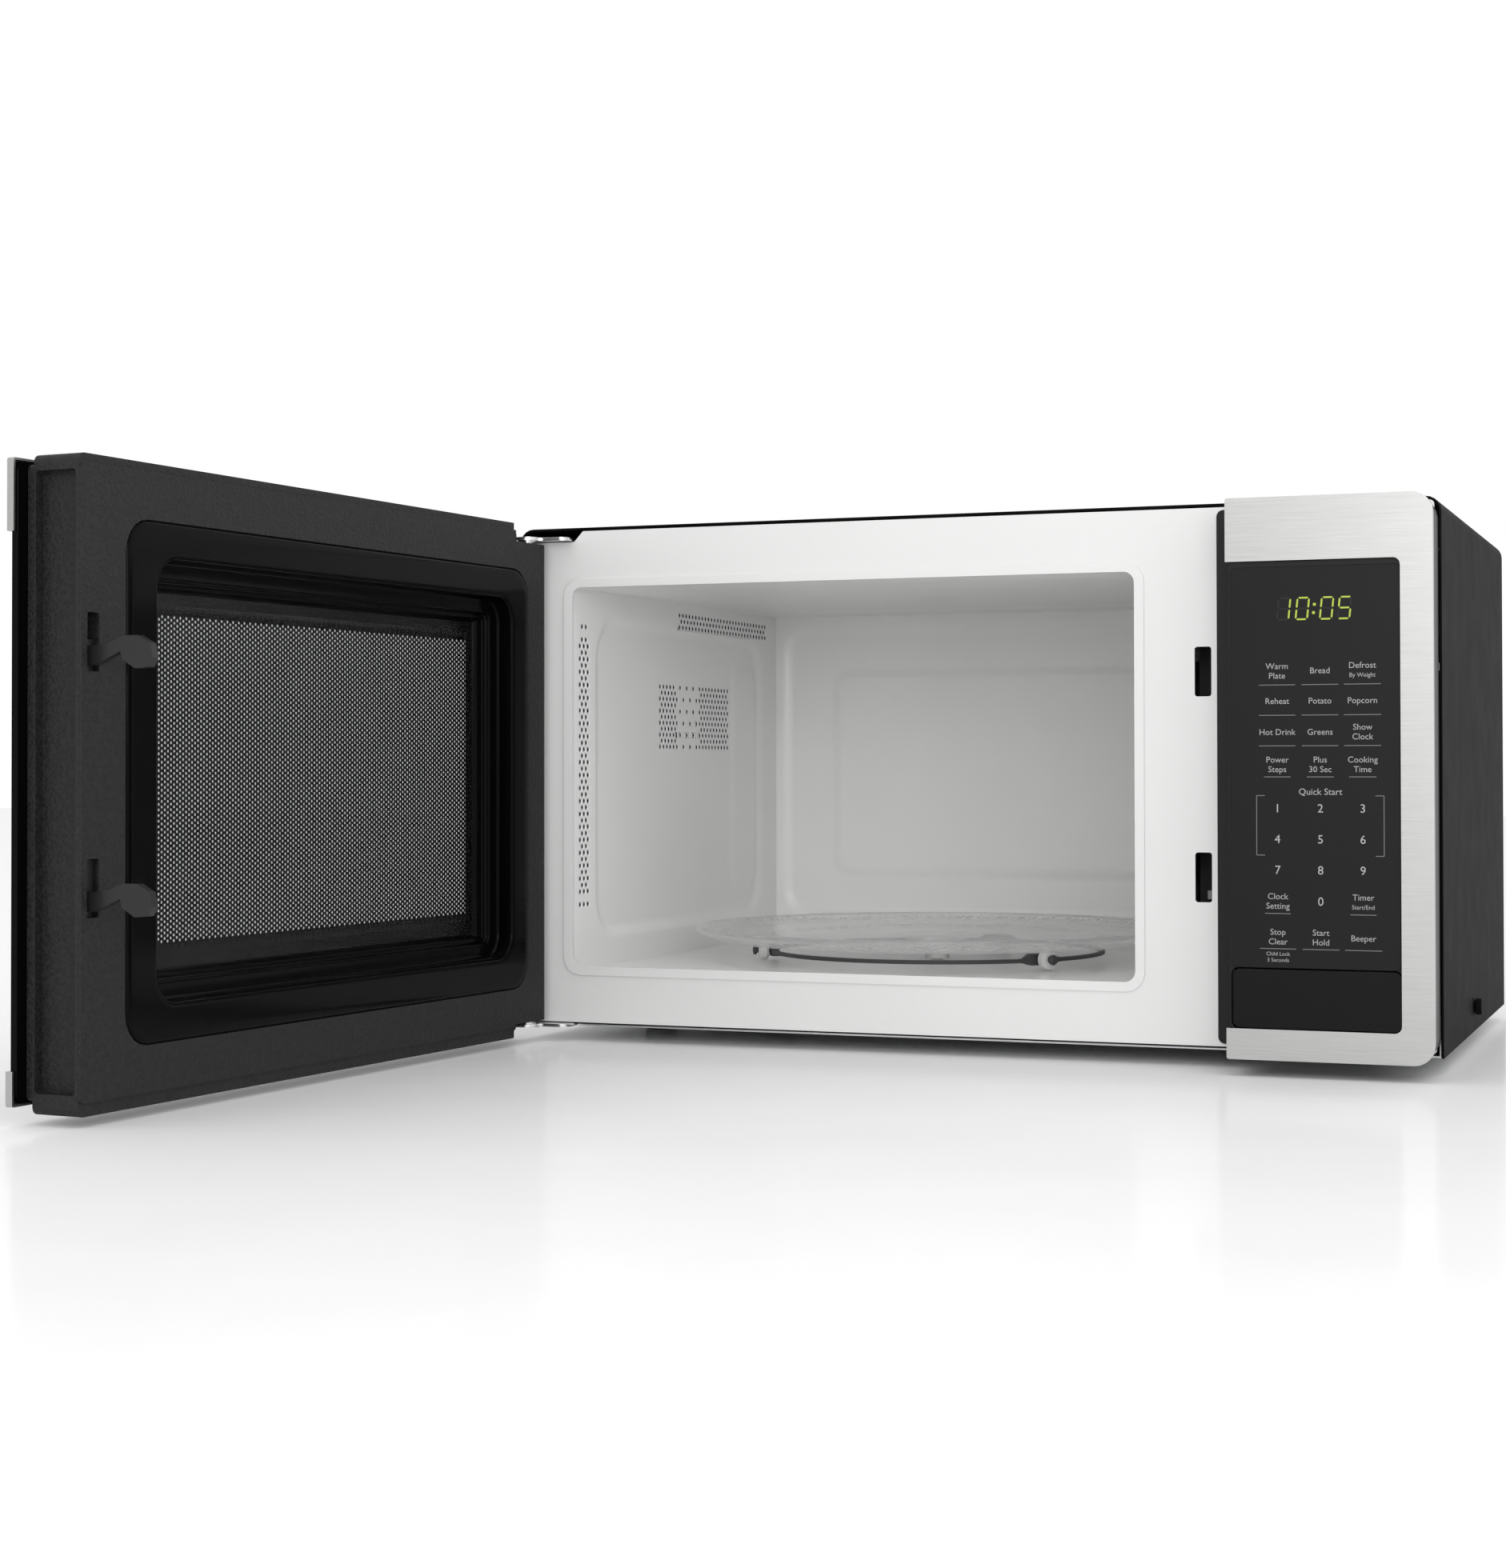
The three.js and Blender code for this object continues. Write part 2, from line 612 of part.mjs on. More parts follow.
function transformerWindings() {
  const [w, d, h] = coreSize;
  const mid = core.x + w / 2;
  const y0 = core.y;
  const outer = plateXY(
    roundedShape(core.x + 15, core.x + w - 15, y0, y0 + d + 12, 8), core.z + 15.5, core.z + h - 15.5
  );
  const middle = box(mid - 8 - gap, mid + 8 + gap, y0 + 12 - gap, y0 + d + gap, core.z, core.z + h);
  return cut(outer, middle);
}

const can = { x: cavityRight + 66, y0: bodyDepth - 104, y1: bodyDepth - 30, z: 30 };

function capacitor() {
  const body = plateXZ(roundedShape(can.x - 25, can.x + 25, can.z - 16, can.z + 16, 15.5), can.y0, can.y1);
  const lugs = [can.x - 9, can.x + 9].map((x) =>
    box(x - 3, x + 3, can.y1 - 1, can.y1 + 9, can.z - 0.5, can.z + 0.5)
  );
  return join(body, ...lugs);
}

function capacitorClamp() {
  const y0 = can.y0 + 26;
  const band = cut(
    plateXZ(roundedShape(can.x - 26.6, can.x + 26.6, can.z - 17.6, can.z + 17.6, 17), y0, y0 + 14),
    plateXZ(roundedShape(can.x - 25.4, can.x + 25.4, can.z - 16.4, can.z + 16.4, 15.9), y0 - 1, y0 + 15)
  );
  const leg = box(can.x + 20, can.x + 38, y0, y0 + 14, sheet + gap, sheet + gap + 1.2);
  const riser = box(can.x + 20, can.x + 21.2, y0, y0 + 14, sheet + gap, can.z - 12);
  return join(band, leg, riser);
}

function diode() {
  const y = can.y1 + 12;
  const body = rod('x', can.x - 22, can.x - 8, y, can.z - 14, 3, undefined, 12);
  const lead = rod('x', can.x - 32, can.x + 2, y, can.z - 14, 0.8, undefined, 8);
  return join(body, lead);
}

function fanShroud() {
  const y0 = bodyDepth - 24;
  const plate = plateXZ(
    roundedShape(cavityRight + 10, right - 8, fanZ - 52, fanZ + 56, 6), y0, y0 + plastic
  );
  const hole = rod('y', y0 - 30, y0 + 5, fanX, fanZ, fanRadius + 2.5, undefined, 40);
  const duct = rod('y', y0 - 16, y0 + 1, fanX, fanZ, fanRadius + 4.5, undefined, 40);
  return cut(join(plate, duct), hole);
}

function fanMotor() {
  const y0 = bodyDepth - 74;
  const stator = plateXZ(roundedShape(fanX - 24, fanX + 24, fanZ - 28, fanZ + 20, 4), y0, y0 + 18);
  const bearing = rod('y', y0 + 17, y0 + 24, fanX, fanZ, 9);
  const arms = [-1, 1].map((side) =>
    box(fanX + side * 53 - 2, fanX + side * 53 + 2, y0 + 6, bodyDepth - 24 - gap, fanZ - 6, fanZ + 6)
  );
  const bridge = box(fanX - 55, fanX + 55, y0 + 4, y0 + 8, fanZ - 6, fanZ + 6);
  const shaftHole = rod('y', y0 + 12, y0 + 30, fanX, fanZ, 2 + gap, undefined, 12);
  return cut(join(stator, bearing, bridge, ...arms), shaftHole);
}

function fanBlade() {
  const y0 = bodyDepth - 48;
  const hub = rod('y', y0, y0 + 12, fanX, fanZ, 11);
  const shaft = rod('y', y0 - 10, y0 + 2, fanX, fanZ, 2, undefined, 12);
  const blades = around(5, (angle) => {
    const blade = new THREE.BoxGeometry(fanRadius - 8, 1.6, 24);
    blade.rotateX(THREE.MathUtils.degToRad(28)).translate((fanRadius + 8) / 2, 0, 0);
    blade.rotateY(angle).translate(fanX, y0 + 6, fanZ);
    return solid(blade);
  });
  return join(hub, shaft, ...blades);
}

function lampSocket() {
  const x0 = cavityRight + sheet + gap;
  const bracket = box(x0, x0 + 1.2, lamp.y - 22, lamp.y + 14, lamp.z - 16, lamp.z + 16);
  const hole = rod('x', x0 - 1, x0 + 3, lamp.y, lamp.z, 12, undefined, 20);
  const arm = box(x0, x0 + 34, lamp.y - 22, lamp.y - 20.8, lamp.z - 16, lamp.z + 16);
  const cup = rod('x', x0 + 26, x0 + 46, lamp.y, lamp.z, 11, undefined, 20);
  const web = box(x0 + 28, x0 + 34, lamp.y - 22, lamp.y, lamp.z - 6, lamp.z + 6);
  const bore = rod('x', x0 + 20, x0 + 42, lamp.y, lamp.z, 8, undefined, 20);
  return cut(join(cut(bracket, hole), arm, web, cup), bore);
}

function cavityLamp() {
  const x0 = cavityRight + sheet + gap + 4;
  const half = 10;
  const bulb = new THREE.SphereGeometry(half, 16, 10);
  bulb.translate(x0 + half, lamp.y, lamp.z);
  return join(solid(bulb), rod('x', x0 + 16, x0 + 37, lamp.y, lamp.z, 7, undefined, 16));
}

function thermalCutout() {
  const x0 = cavityRight + sheet + gap;
  const y = bodyDepth - 50;
  const z = cavityTop - 14;
  const disc = rod('x', x0, x0 + 8, y, z, 7);
  const plate = box(x0, x0 + 0.8, y - 14, y + 14, z - 5, z + 5);
  const lugs = [-4, 4].map((d) => box(x0 + 6, x0 + 14, y + d - 0.4, y + d + 0.4, z - 3, z + 3));
  return join(disc, plate, ...lugs);
}

const filter = { x0: cavityRight + 30, x1: right - 22, y0: 50, y1: 104, z: frontHeight - 30 };

function filterBoard() {
  const board = box(filter.x0, filter.x1, filter.y0, filter.y1, filter.z, filter.z + 1.6);
  const choke = rod('z', filter.z + 1, filter.z + 17, filter.x0 + 24, filter.y0 + 34, 11);
  const block = box(
    filter.x0 + 44, filter.x0 + 68, filter.y0 + 26, filter.y0 + 38, filter.z + 1, filter.z + 16
  );
  const clips = [filter.x0 + 10, filter.x0 + 36].map((x) =>
    box(x, x + 1, filter.y0 + 5, filter.y0 + 13, filter.z + 1, filter.z + 7)
  );
  return join(board, choke, block, ...clips);
}

function fuse() {
  return rod('x', filter.x0 + 11 + gap, filter.x0 + 36 - gap, filter.y0 + 9, filter.z + 6.5, 3, undefined, 16);
}

add('waveguide_cover', waveguideCover(), mica);
add('waveguide', waveguide(), zincSteel);
add('magnetron', magnetron(), zincSteel);
add('magnetron_yoke', magnetronYoke(), zincSteel);
add('transformer_core', transformerCore(), greyPlastic);
add('transformer_windings', transformerWindings(), copper);
add('high_voltage_capacitor', capacitor(), zincSteel);
add('capacitor_clamp', capacitorClamp(), zincSteel);
add('high_voltage_diode', diode(), charcoal);
add('fan_shroud', fanShroud(), whitePlastic);
add('fan_motor', fanMotor(), zincSteel);
add('fan_blade', fanBlade(), whitePlastic);
add('lamp_socket', lampSocket(), zincSteel);
add('cavity_lamp', cavityLamp(), clearGlass);
add('thermal_cutout', thermalCutout(), zincSteel);
add('line_filter_board', filterBoard(), laminate);
add('fuse', fuse(), clearGlass);

// ---------------------------------------------------------------- interlock

const housing = {
  x0: latchX - 9, x1: latchX + 9, y1: 38, z0: upperHookZ - hookSpacing - 14, z1: upperHookZ + 30,
};

// The lever's finger ends just under the lower hook of the closed door.
const finger = { y0: 24, y1: 28, top: upperHookZ - hookSpacing - 0.8 };

function latchHousing() {
  const y0 = sheet + gap;
  const body = box(housing.x0, housing.x1, y0, housing.y1, housing.z0, housing.z1);
  const channels = latchSlots(y0 - 2, 34, 1.2);
  const inside = [y0 + plastic, housing.y1 - plastic];
  const middle = box(
    housing.x0 - 1, housing.x1 - plastic, ...inside, upperHookZ - hookSpacing + 22, upperHookZ - 9
  );
  const relief = box(housing.x0 - 1, latchX - 4.5, ...inside, housing.z0 + 2, housing.z1 - 2);
  const leverWay = box(
    latchX - 6, housing.x1 + 1, finger.y0 - 9, finger.y1 + 3, housing.z0 - 1, finger.top + 8
  );
  return cut(body, ...channels, middle, relief, leverWay);
}

function microswitch(z, terminals) {
  const x0 = housing.x1 + gap;
  const body = box(x0, x0 + 10, 8, 36, z, z + 16);
  const plunger = box(x0 + 4, x0 + 6, 6, 9, z + 5, z + 8);
  const lugs = terminals.map((y) => box(x0 + 9, x0 + 17, y, y + 0.8, z + 4, z + 10));
  return join(body, plunger, ...lugs);
}

const lever = { x: panelLeft + 38.5, y: 6, z: 45 };
const buttonZ = { bottom: bezelBottom + 0.4, top: bezelBottom + 26.2 };
const pushZ = (buttonZ.bottom + buttonZ.top) / 2;
const stemEnd = -3;

function openLever() {
  const x0 = latchX - 3;
  const shaft = rod('x', housing.x1 + 12, lever.x + 8, lever.y, lever.z, 2.6, undefined, 14);
  const press = plateYZ(
    outline(
      [lever.y - 2.5, lever.z + 1], [stemEnd + gap, pushZ - 5], [stemEnd + gap + 3, pushZ - 5],
      [lever.y + 2.5, lever.z - 1]
    ), lever.x - 3, lever.x + 3
  );
  const liftArm = plateYZ(
    outline(
      [lever.y, lever.z - 2.5], [finger.y1, finger.top - 4], [finger.y1, finger.top],
      [finger.y0, finger.top], [lever.y, lever.z + 2.5]
    ),
    housing.x1 + 12, housing.x1 + 16
  );
  const tip = box(x0, housing.x1 + 14, finger.y0, finger.y1, finger.top - 4, finger.top);
  return join(shaft, press, liftArm, tip);
}

add('latch_housing', latchHousing(), greyPlastic);
add('interlock_switch_upper', microswitch(upperHookZ - 4, [12, 22]), charcoal);
add('interlock_switch_lower', microswitch(upperHookZ - hookSpacing + 10, [12, 22]), charcoal);
add('monitor_switch', microswitch(upperHookZ - 32, [12, 17, 22]), charcoal);
add('open_lever', openLever(), whitePlastic);

// ---------------------------------------------------------------- control panel

const panelFront = skinBack + 1.4; // front of the housing's wall
const keypad = {
  x0: panelLeft + 2, x1: right - bezelSide - 0.3, z0: bezelBottom + 26.8, z1: bezelInnerTop - 2.6,
};
const displayZ = { bottom: keypad.z1 - 32, top: keypad.z1 - 8 };
const buttonBack = panelFront + 6.8;
const seat = { y0: buttonBack + buttonTravel + 3.8, y1: buttonBack + buttonTravel + 5.4 };

function panelHousing() {
  const inset = sheet + gap;
  const x0 = panelLeft + inset;
  const x1 = right - inset;
  const z1 = frontHeight - inset;
  const outerShape = roundedShape(x0, x1, inset, z1, [1, 7.5, 7.5, 1]);
  const innerShape = roundedShape(x0 + plastic, x1 - plastic, inset + plastic, z1 - plastic, 4);
  const shell = cut(plateXZ(outerShape, panelFront, -gap), plateXZ(innerShape, panelFront + plastic, 1));
  const flange = plateXZ(
    roundedShape(panelBodyLeft, x0 + 1, faceBottom + 1.7, faceTop - 1.7, [3, 0, 0, 3]), gap - doorGap, sheet
  );
  const doorway = plateXZ(
    roundedShape(panelLeft + 1.8, right - bezelSide + 0.3, bezelBottom - 0.1, buttonZ.top + 0.5, 3),
    panelFront - 1, panelFront + 3
  );
  const window = box(
    keypad.x0 + 15, keypad.x1 - 10, panelFront - 1, panelFront + 3, displayZ.bottom, displayZ.top
  );
  const springSeat = box(lever.x - 26, lever.x + 9, seat.y0, seat.y1, 1.5, lever.z + 6);
  const lugs = [lever.x - 26, lever.x + 4].map((x) =>
    box(x, x + 2, seat.y0 + 1, lever.y + 5, lever.z - 6, lever.z + 6)
  );
  const shaftBore = rod('x', lever.x - 30, lever.x + 12, lever.y, lever.z, 2.6 + gap, undefined, 14);
  const stemHole = rod('y', seat.y0 - 1, seat.y1 + 1, lever.x, pushZ, 2.5 + 0.4, undefined, 16);
  return cut(join(shell, flange, springSeat, ...lugs), doorway, window, stemHole, shaftBore);
}

// The steel skin's outline with its outer corners rounded and the middle open towards the other half.
function bezel(x0, x1, openRight) {
  const corner = openRight ? [cornerRadius, 1, 1, cornerRadius] : [1, cornerRadius, cornerRadius, 1];
  const inner = openRight ? [3, 0, 0, 3] : [0, 3, 3, 0];
  const window = openRight
    ? [x0 + bezelSide, x1 + 5]
    : [x0 - 5, x1 - bezelSide];
  const skinShape = roundedShape(x0, x1, 0, frontHeight, corner, 6);
  const windowShape = roundedShape(...window, bezelBottom, bezelInnerTop, inner);
  const rimInset = roundedShape(
    x0 + sheet, x1 - sheet, sheet, frontHeight - sheet, corner.map((r) => Math.max(0, r - sheet)), 6
  );
  const face = plateXZ(skinShape, -frontThickness, skinBack);
  const rim = cut(
    plateXZ(skinShape, skinBack - 0.2, skinBack + 2.2), plateXZ(rimInset, skinBack - 1, skinBack + 3)
  );
  return cut(join(face, rim), plateXZ(windowShape, -frontThickness - 1, skinBack + 4));
}

function keypadSheet() {
  const shape = roundedShape(keypad.x0, keypad.x1, keypad.z0, keypad.z1, 2);
  return plateXZ(shape, panelFront - gap - 0.7, panelFront - gap);
}

function displayModule() {
  const y0 = panelFront + plastic + gap;
  const body = box(keypad.x0 + 14, keypad.x1 - 9, y0, y0 + 6, displayZ.bottom - 2, displayZ.top + 2);
  const lens = box(
    keypad.x0 + 15.5, keypad.x1 - 10.5, panelFront + gap, y0 + 1, displayZ.bottom + 0.5, displayZ.top - 0.5
  );
  return join(body, lens);
}

function controlBoard() {
  const y0 = panelFront + plastic + 9;
  const board = box(panelLeft + 8, right - 8, y0, y0 + 1.6, 60, bezelInnerTop - 2);
  const pitch = (panelWidth - 45.5) / 2;
  const relays = [0, 1, 2].map((i) => {
    const x = panelLeft + 14 + i * pitch;
    return box(x, x + 16, y0 + 1, y0 + 13, 70, 88);
  });
  const transformer = box(panelLeft + 16, panelLeft + 46, y0 + 1, y0 + 15, 100, 126);
  return join(board, ...relays, transformer);
}

function openButton() {
  const x0 = panelLeft + 3.1;
  const x1 = right - bezelSide - 0.4;
  const front = panelFront - 1.2;
  const cap = plateXZ(roundedShape(x0, x1, buttonZ.bottom, buttonZ.top, 2.6), front, buttonBack);
  const hollow = plateXZ(
    roundedShape(x0 + 2, x1 - 2, buttonZ.bottom + 2, buttonZ.top - 2, 1.5), front + 2.2, buttonBack + 1
  );
  const stem = rod('y', front + 1, stemEnd, lever.x, pushZ, 2.5, undefined, 16);
  return join(cut(cap, hollow), stem);
}

function buttonSpring() {
  const ends = [panelFront + 1 + gap, seat.y0 - gap];
  const at = (a, b, along) => new THREE.Vector3(lever.x + a, along, pushZ + b);
  return spring(ends, { turns: 5, coil: 4.2, wire: 0.5, sides: 6 }, at);
}

add('control_panel_housing', panelHousing(), glossBlack);
add('control_panel_trim', bezel(panelLeft, right, false), brushedSteel);
add('keypad_membrane', keypadSheet(), charcoal);
add('display_module', displayModule(), charcoal);
add('control_board', controlBoard(), laminate);
add('door_open_button', openButton(), charcoal);
add('button_spring', buttonSpring(), zincSteel);

// ---------------------------------------------------------------- door

const choke = { x0: cavityLeft - 6.4, x1: openingRight + 13.4, z0: openingBottom - 8.8, z1: cavityTop + 7 };
const aperture = { x0: choke.x0 + 14.6, x1: choke.x1 - 19, z0: choke.z0 + 15.3, z1: choke.z1 - 14.5 };
const notchTop = hingeNotch.bottom - 1.8;
const pocket = {
  x0: latchX - hookThickness / 2 - 0.8, x1: latchX + hookThickness / 2 + 0.8, y0: -17, y1: frameBack - 1.6,
};
const latchRoomTop = upperHookZ + 32;

function insetShape(area, inset, radius) {
  return roundedShape(area.x0 + inset, area.x1 - inset, area.z0 + inset, area.z1 - inset, radius, 5);
}

function doorFrame() {
  const body = plateXZ(
    roundedShape(left + 0.8, doorFrameRight, faceBottom, frontHeight - 2.3, 2), frameFront, frameBack
  );
  const rim = plateXZ(
    roundedShape(left + 0.8, doorFrameRight + 0.2, -doorRim, frontHeight + 1.3, 3),
    frameFront + 3, frameBack - 1.2
  );
  const window = plateXZ(insetShape(aperture, -3, 15), frameFront - 1, 1);
  const chokeSeat = plateXZ(insetShape(choke, -0.5, 13.5), frameBack - 2.2, 1);
  const swing = hingeX - 0.2; // the rounded edge turns inside this radius of the axis
  const corner = cut(
    box(left - 2, hingeX, hingeY, 2, -20, frontHeight + 20),
    rod('z', -21, frontHeight + 21, hingeX, hingeY, swing, undefined, 40)
  );
  const notches = [
    box(left - 2, hingeNotch.side, hingeY - 10.8, 2, notchTop, frontHeight + 20),
    box(left - 2, hingeNotch.side, hingeY - 10.8, 2, -20, 3.4),
  ];
  const pinHole = rod('z', -20, frontHeight + 20, hingeX, hingeY, hingePinRadius + gap, undefined, 20);
  const pinLimit = box(hingeX - 5, hingeX + 5, hingeY - 5, hingeY + 5, 18, notchTop - 16);
  const channel = plateYZ(
    roundedShape(frameFront + 4, frameBack - 2.8, 5, frontHeight - 5, 1.5),
    pocket.x1 + 1.2, doorFrameRight + 2
  );
  const latchRoomBottom = upperHookZ - hookSpacing - 7;
  const latchRoom = box(pocket.x0, pocket.x1, pocket.y0, pocket.y1, latchRoomBottom, latchRoomTop);
  const hooks = [upperHookZ, upperHookZ - hookSpacing].map((z) =>
    plateXZ(
      roundedShape(latchX - 2.1, latchX + 4.8, z - 0.2, z + 22.2, 0.4, 1), pocket.y1 - 1, 1
    )
  );
  const hollow = cut(
    plateXZ(
      roundedShape(hingeNotch.side + 6, pocket.x0 - 2, 6, frontHeight - 8, 4), frameFront - 1, frameBack - 5
    ),
    plateXZ(insetShape(aperture, -5.4, 17), frameFront - 2, 0)
  );
  return cut(
    join(body, rim), hollow, window, chokeSeat, corner, ...notches, cut(pinHole, pinLimit),
    channel, latchRoom, ...hooks
  );
}

function chokeCover() {
  const face = cut(
    plateXZ(insetShape(choke, 0, 13), frameBack - 1.9, frameBack + 0.3),
    plateXZ(insetShape(aperture, 0, 12), -20, 2)
  );
  const wall = cut(
    plateXZ(insetShape(aperture, -2.4, 14.4), screenY + gap + 0.9, frameBack - 1),
    plateXZ(insetShape(aperture, 0, 12), -20, 2)
  );
  const ledge = cut(
    plateXZ(insetShape(aperture, -1, 13), -11, -9.4),
    plateXZ(insetShape(aperture, 9.5, 8), -20, 2)
  );
  return join(face, wall, ledge);
}

function doorScreen() {
  return plateXZ(insetShape(aperture, -2.4, 14.4), screenY - 0.8, screenY);
}

function doorFilm() {
  return plateXZ(insetShape(aperture, 1, 10), screenY + gap, screenY + gap + 0.5);
}

function doorGlass() {
  const pane = roundedShape(left + 1.8, doorRight - 1.4, 1.3, frontHeight - 1.3, [7.5, 0.5, 0.5, 7.5]);
  return plateXZ(pane, glassFront, glassBack);
}

// Each hook is a flat arm with a hexagonal head that reaches behind the front face.
function hookShape(z) {
  return outline(
    [pocket.y1 - 6, z + 2.2], [-1, z + 2], [5, z + 4.4], [11.6, z + 7.2], [12.6, z + 4], [18.5, z + 0.5],
    [25, z + 1], [27, z + 4.5], [25.6, z + 10], [20, z + 13.1], [13, z + 13.1], [6, z + 10.6],
    [-1, z + 9.6], [pocket.y1 - 6, z + 9.8]
  );
}

function latchPlate() {
  const x0 = latchX - hookThickness / 2;
  const x1 = latchX + hookThickness / 2;
  const low = upperHookZ - hookSpacing;
  const bar = box(x0, x1, pocket.y1 - 9, pocket.y1 - 1, low - 2, upperHookZ + 12);
  const hooks = [upperHookZ, low].map((z) => plateYZ(hookShape(z), x0, x1));
  return join(bar, ...hooks);
}

function latchSpring() {
  const ends = [upperHookZ + 12 + gap, latchRoomTop - gap];
  const at = (a, b, along) => new THREE.Vector3(latchX + a, pocket.y1 - 5 + b, along);
  return spring(ends, { turns: 6, coil: 1.7, wire: 0.4, sides: 5 }, at);
}

add('door_frame', doorFrame(), grainedBlack, door);
add('door_trim', bezel(left + 0.5, doorRight, true), brushedSteel, door);
add('door_glass', doorGlass(), glossBlack, door);
add('door_screen', doorScreen(), charcoal, door);
add('door_film', doorFilm(), clearGlass, door);
add('choke_cover', chokeCover(), glossBlack, door);
add('latch_plate', latchPlate(), glossBlack, door);
add('latch_spring', latchSpring(), zincSteel, door);

export default oven;
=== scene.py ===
# %% [markdown]
# # A countertop microwave oven with its door open
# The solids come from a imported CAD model, which is the frame: nothing in it moves or changes size.
# This file gives each solid its finish, softens its edges, and builds the pieces whose shape the
# CAD keeps plain: the pressed cavity with its vents, the door's screen, the glass tray, the key
# panel's print and the lit clock.

import json
import math

import bmesh
import bpy
from mathutils import Matrix, Vector

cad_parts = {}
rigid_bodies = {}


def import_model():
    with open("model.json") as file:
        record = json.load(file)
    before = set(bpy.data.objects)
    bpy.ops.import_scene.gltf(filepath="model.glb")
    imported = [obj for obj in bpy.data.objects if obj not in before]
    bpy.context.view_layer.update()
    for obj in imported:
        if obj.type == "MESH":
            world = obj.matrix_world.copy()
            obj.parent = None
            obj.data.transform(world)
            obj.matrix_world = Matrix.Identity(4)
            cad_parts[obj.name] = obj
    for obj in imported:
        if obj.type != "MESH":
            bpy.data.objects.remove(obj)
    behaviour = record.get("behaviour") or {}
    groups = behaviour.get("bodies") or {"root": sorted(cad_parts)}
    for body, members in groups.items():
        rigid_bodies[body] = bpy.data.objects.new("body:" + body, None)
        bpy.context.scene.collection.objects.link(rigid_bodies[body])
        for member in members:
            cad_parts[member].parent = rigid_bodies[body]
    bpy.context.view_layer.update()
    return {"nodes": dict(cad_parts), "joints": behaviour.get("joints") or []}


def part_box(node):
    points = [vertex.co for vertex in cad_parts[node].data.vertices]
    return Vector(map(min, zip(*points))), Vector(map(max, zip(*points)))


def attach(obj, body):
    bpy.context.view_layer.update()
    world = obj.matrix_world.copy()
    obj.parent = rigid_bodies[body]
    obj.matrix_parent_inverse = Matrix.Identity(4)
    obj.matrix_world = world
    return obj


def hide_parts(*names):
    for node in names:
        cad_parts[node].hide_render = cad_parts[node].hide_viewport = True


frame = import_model()

# %% [markdown]
# A microwave's drawings are dimensioned from a corner. These helpers do the same: x from the left
# side, y behind the front face, z above the base, all in millimetres. A point on the door is given
# as if the door were shut, and then swung open about the hinge, as the real door is.

# %% Corner coordinates
MM = 0.001
shell_low, shell_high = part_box("outer_wrapper")
left = shell_low.x
face = -shell_high.y
width = (shell_high.x - shell_low.x) / MM
depth = 2 * shell_high.y / MM
front_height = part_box("control_panel_trim")[1].z / MM
cavity_low, cavity_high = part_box("cavity_shell")
hinge = next(joint for joint in frame["joints"] if joint["name"] == "door_hinge")
open_angle = math.radians(-hinge["range_deg"][0])
hinge_at = Vector((hinge["pos_m"][0], hinge["pos_m"][1], 0))
swing = Matrix.Translation(hinge_at) @ Matrix.Rotation(-open_angle, 4, "Z") @ Matrix.Translation(-hinge_at)


def at(x, y, z):
    """A point of the cabinet, from corner coordinates in millimetres."""
    return Vector((left + x * MM, face + y * MM, z * MM))


def on_door(x, y, z):
    """A point of the open door, from where it is with the door shut."""
    return swing @ at(x, y, z)


print("width, depth and height in millimetres:", round(width), round(depth), round(front_height))

# %% [markdown]
# Every finish here is a sum of simple parts: a base colour, a grain, some wear. Writing that sum
# as arithmetic keeps it readable, so a small class wraps a shader socket and turns +, -, * and /
# into Math nodes. A finish is one Principled shader with its constants set directly on it.


# %% Shader arithmetic
class Value:
    """One output socket, which arithmetic can be written with."""

    def __init__(self, finish, socket):
        self.finish, self.socket = finish, socket

    def _math(self, operation, first, second=None, clamp=False):
        sockets = {0: first} if second is None else {0: first, 1: second}
        return self.finish.node("ShaderNodeMath", {"operation": operation, "use_clamp": clamp}, sockets)

    def __add__(self, other):
        return self._math("ADD", self, other)

    def __sub__(self, other):
        return self._math("SUBTRACT", self, other)

    def __rsub__(self, other):
        return self._math("SUBTRACT", other, self)

    def __mul__(self, other):
        return self._math("MULTIPLY", self, other)

    def __truediv__(self, other):
        return self._math("DIVIDE", self, other)

    def __rtruediv__(self, other):
        return self._math("DIVIDE", other, self)

    def __pow__(self, other):
        return self._math("POWER", self, other)

    __radd__, __rmul__ = __add__, __mul__

    def clamp(self):
        return self._math("ADD", self, 0.0, clamp=True)

    def sine(self):
        return self._math("SINE", self)


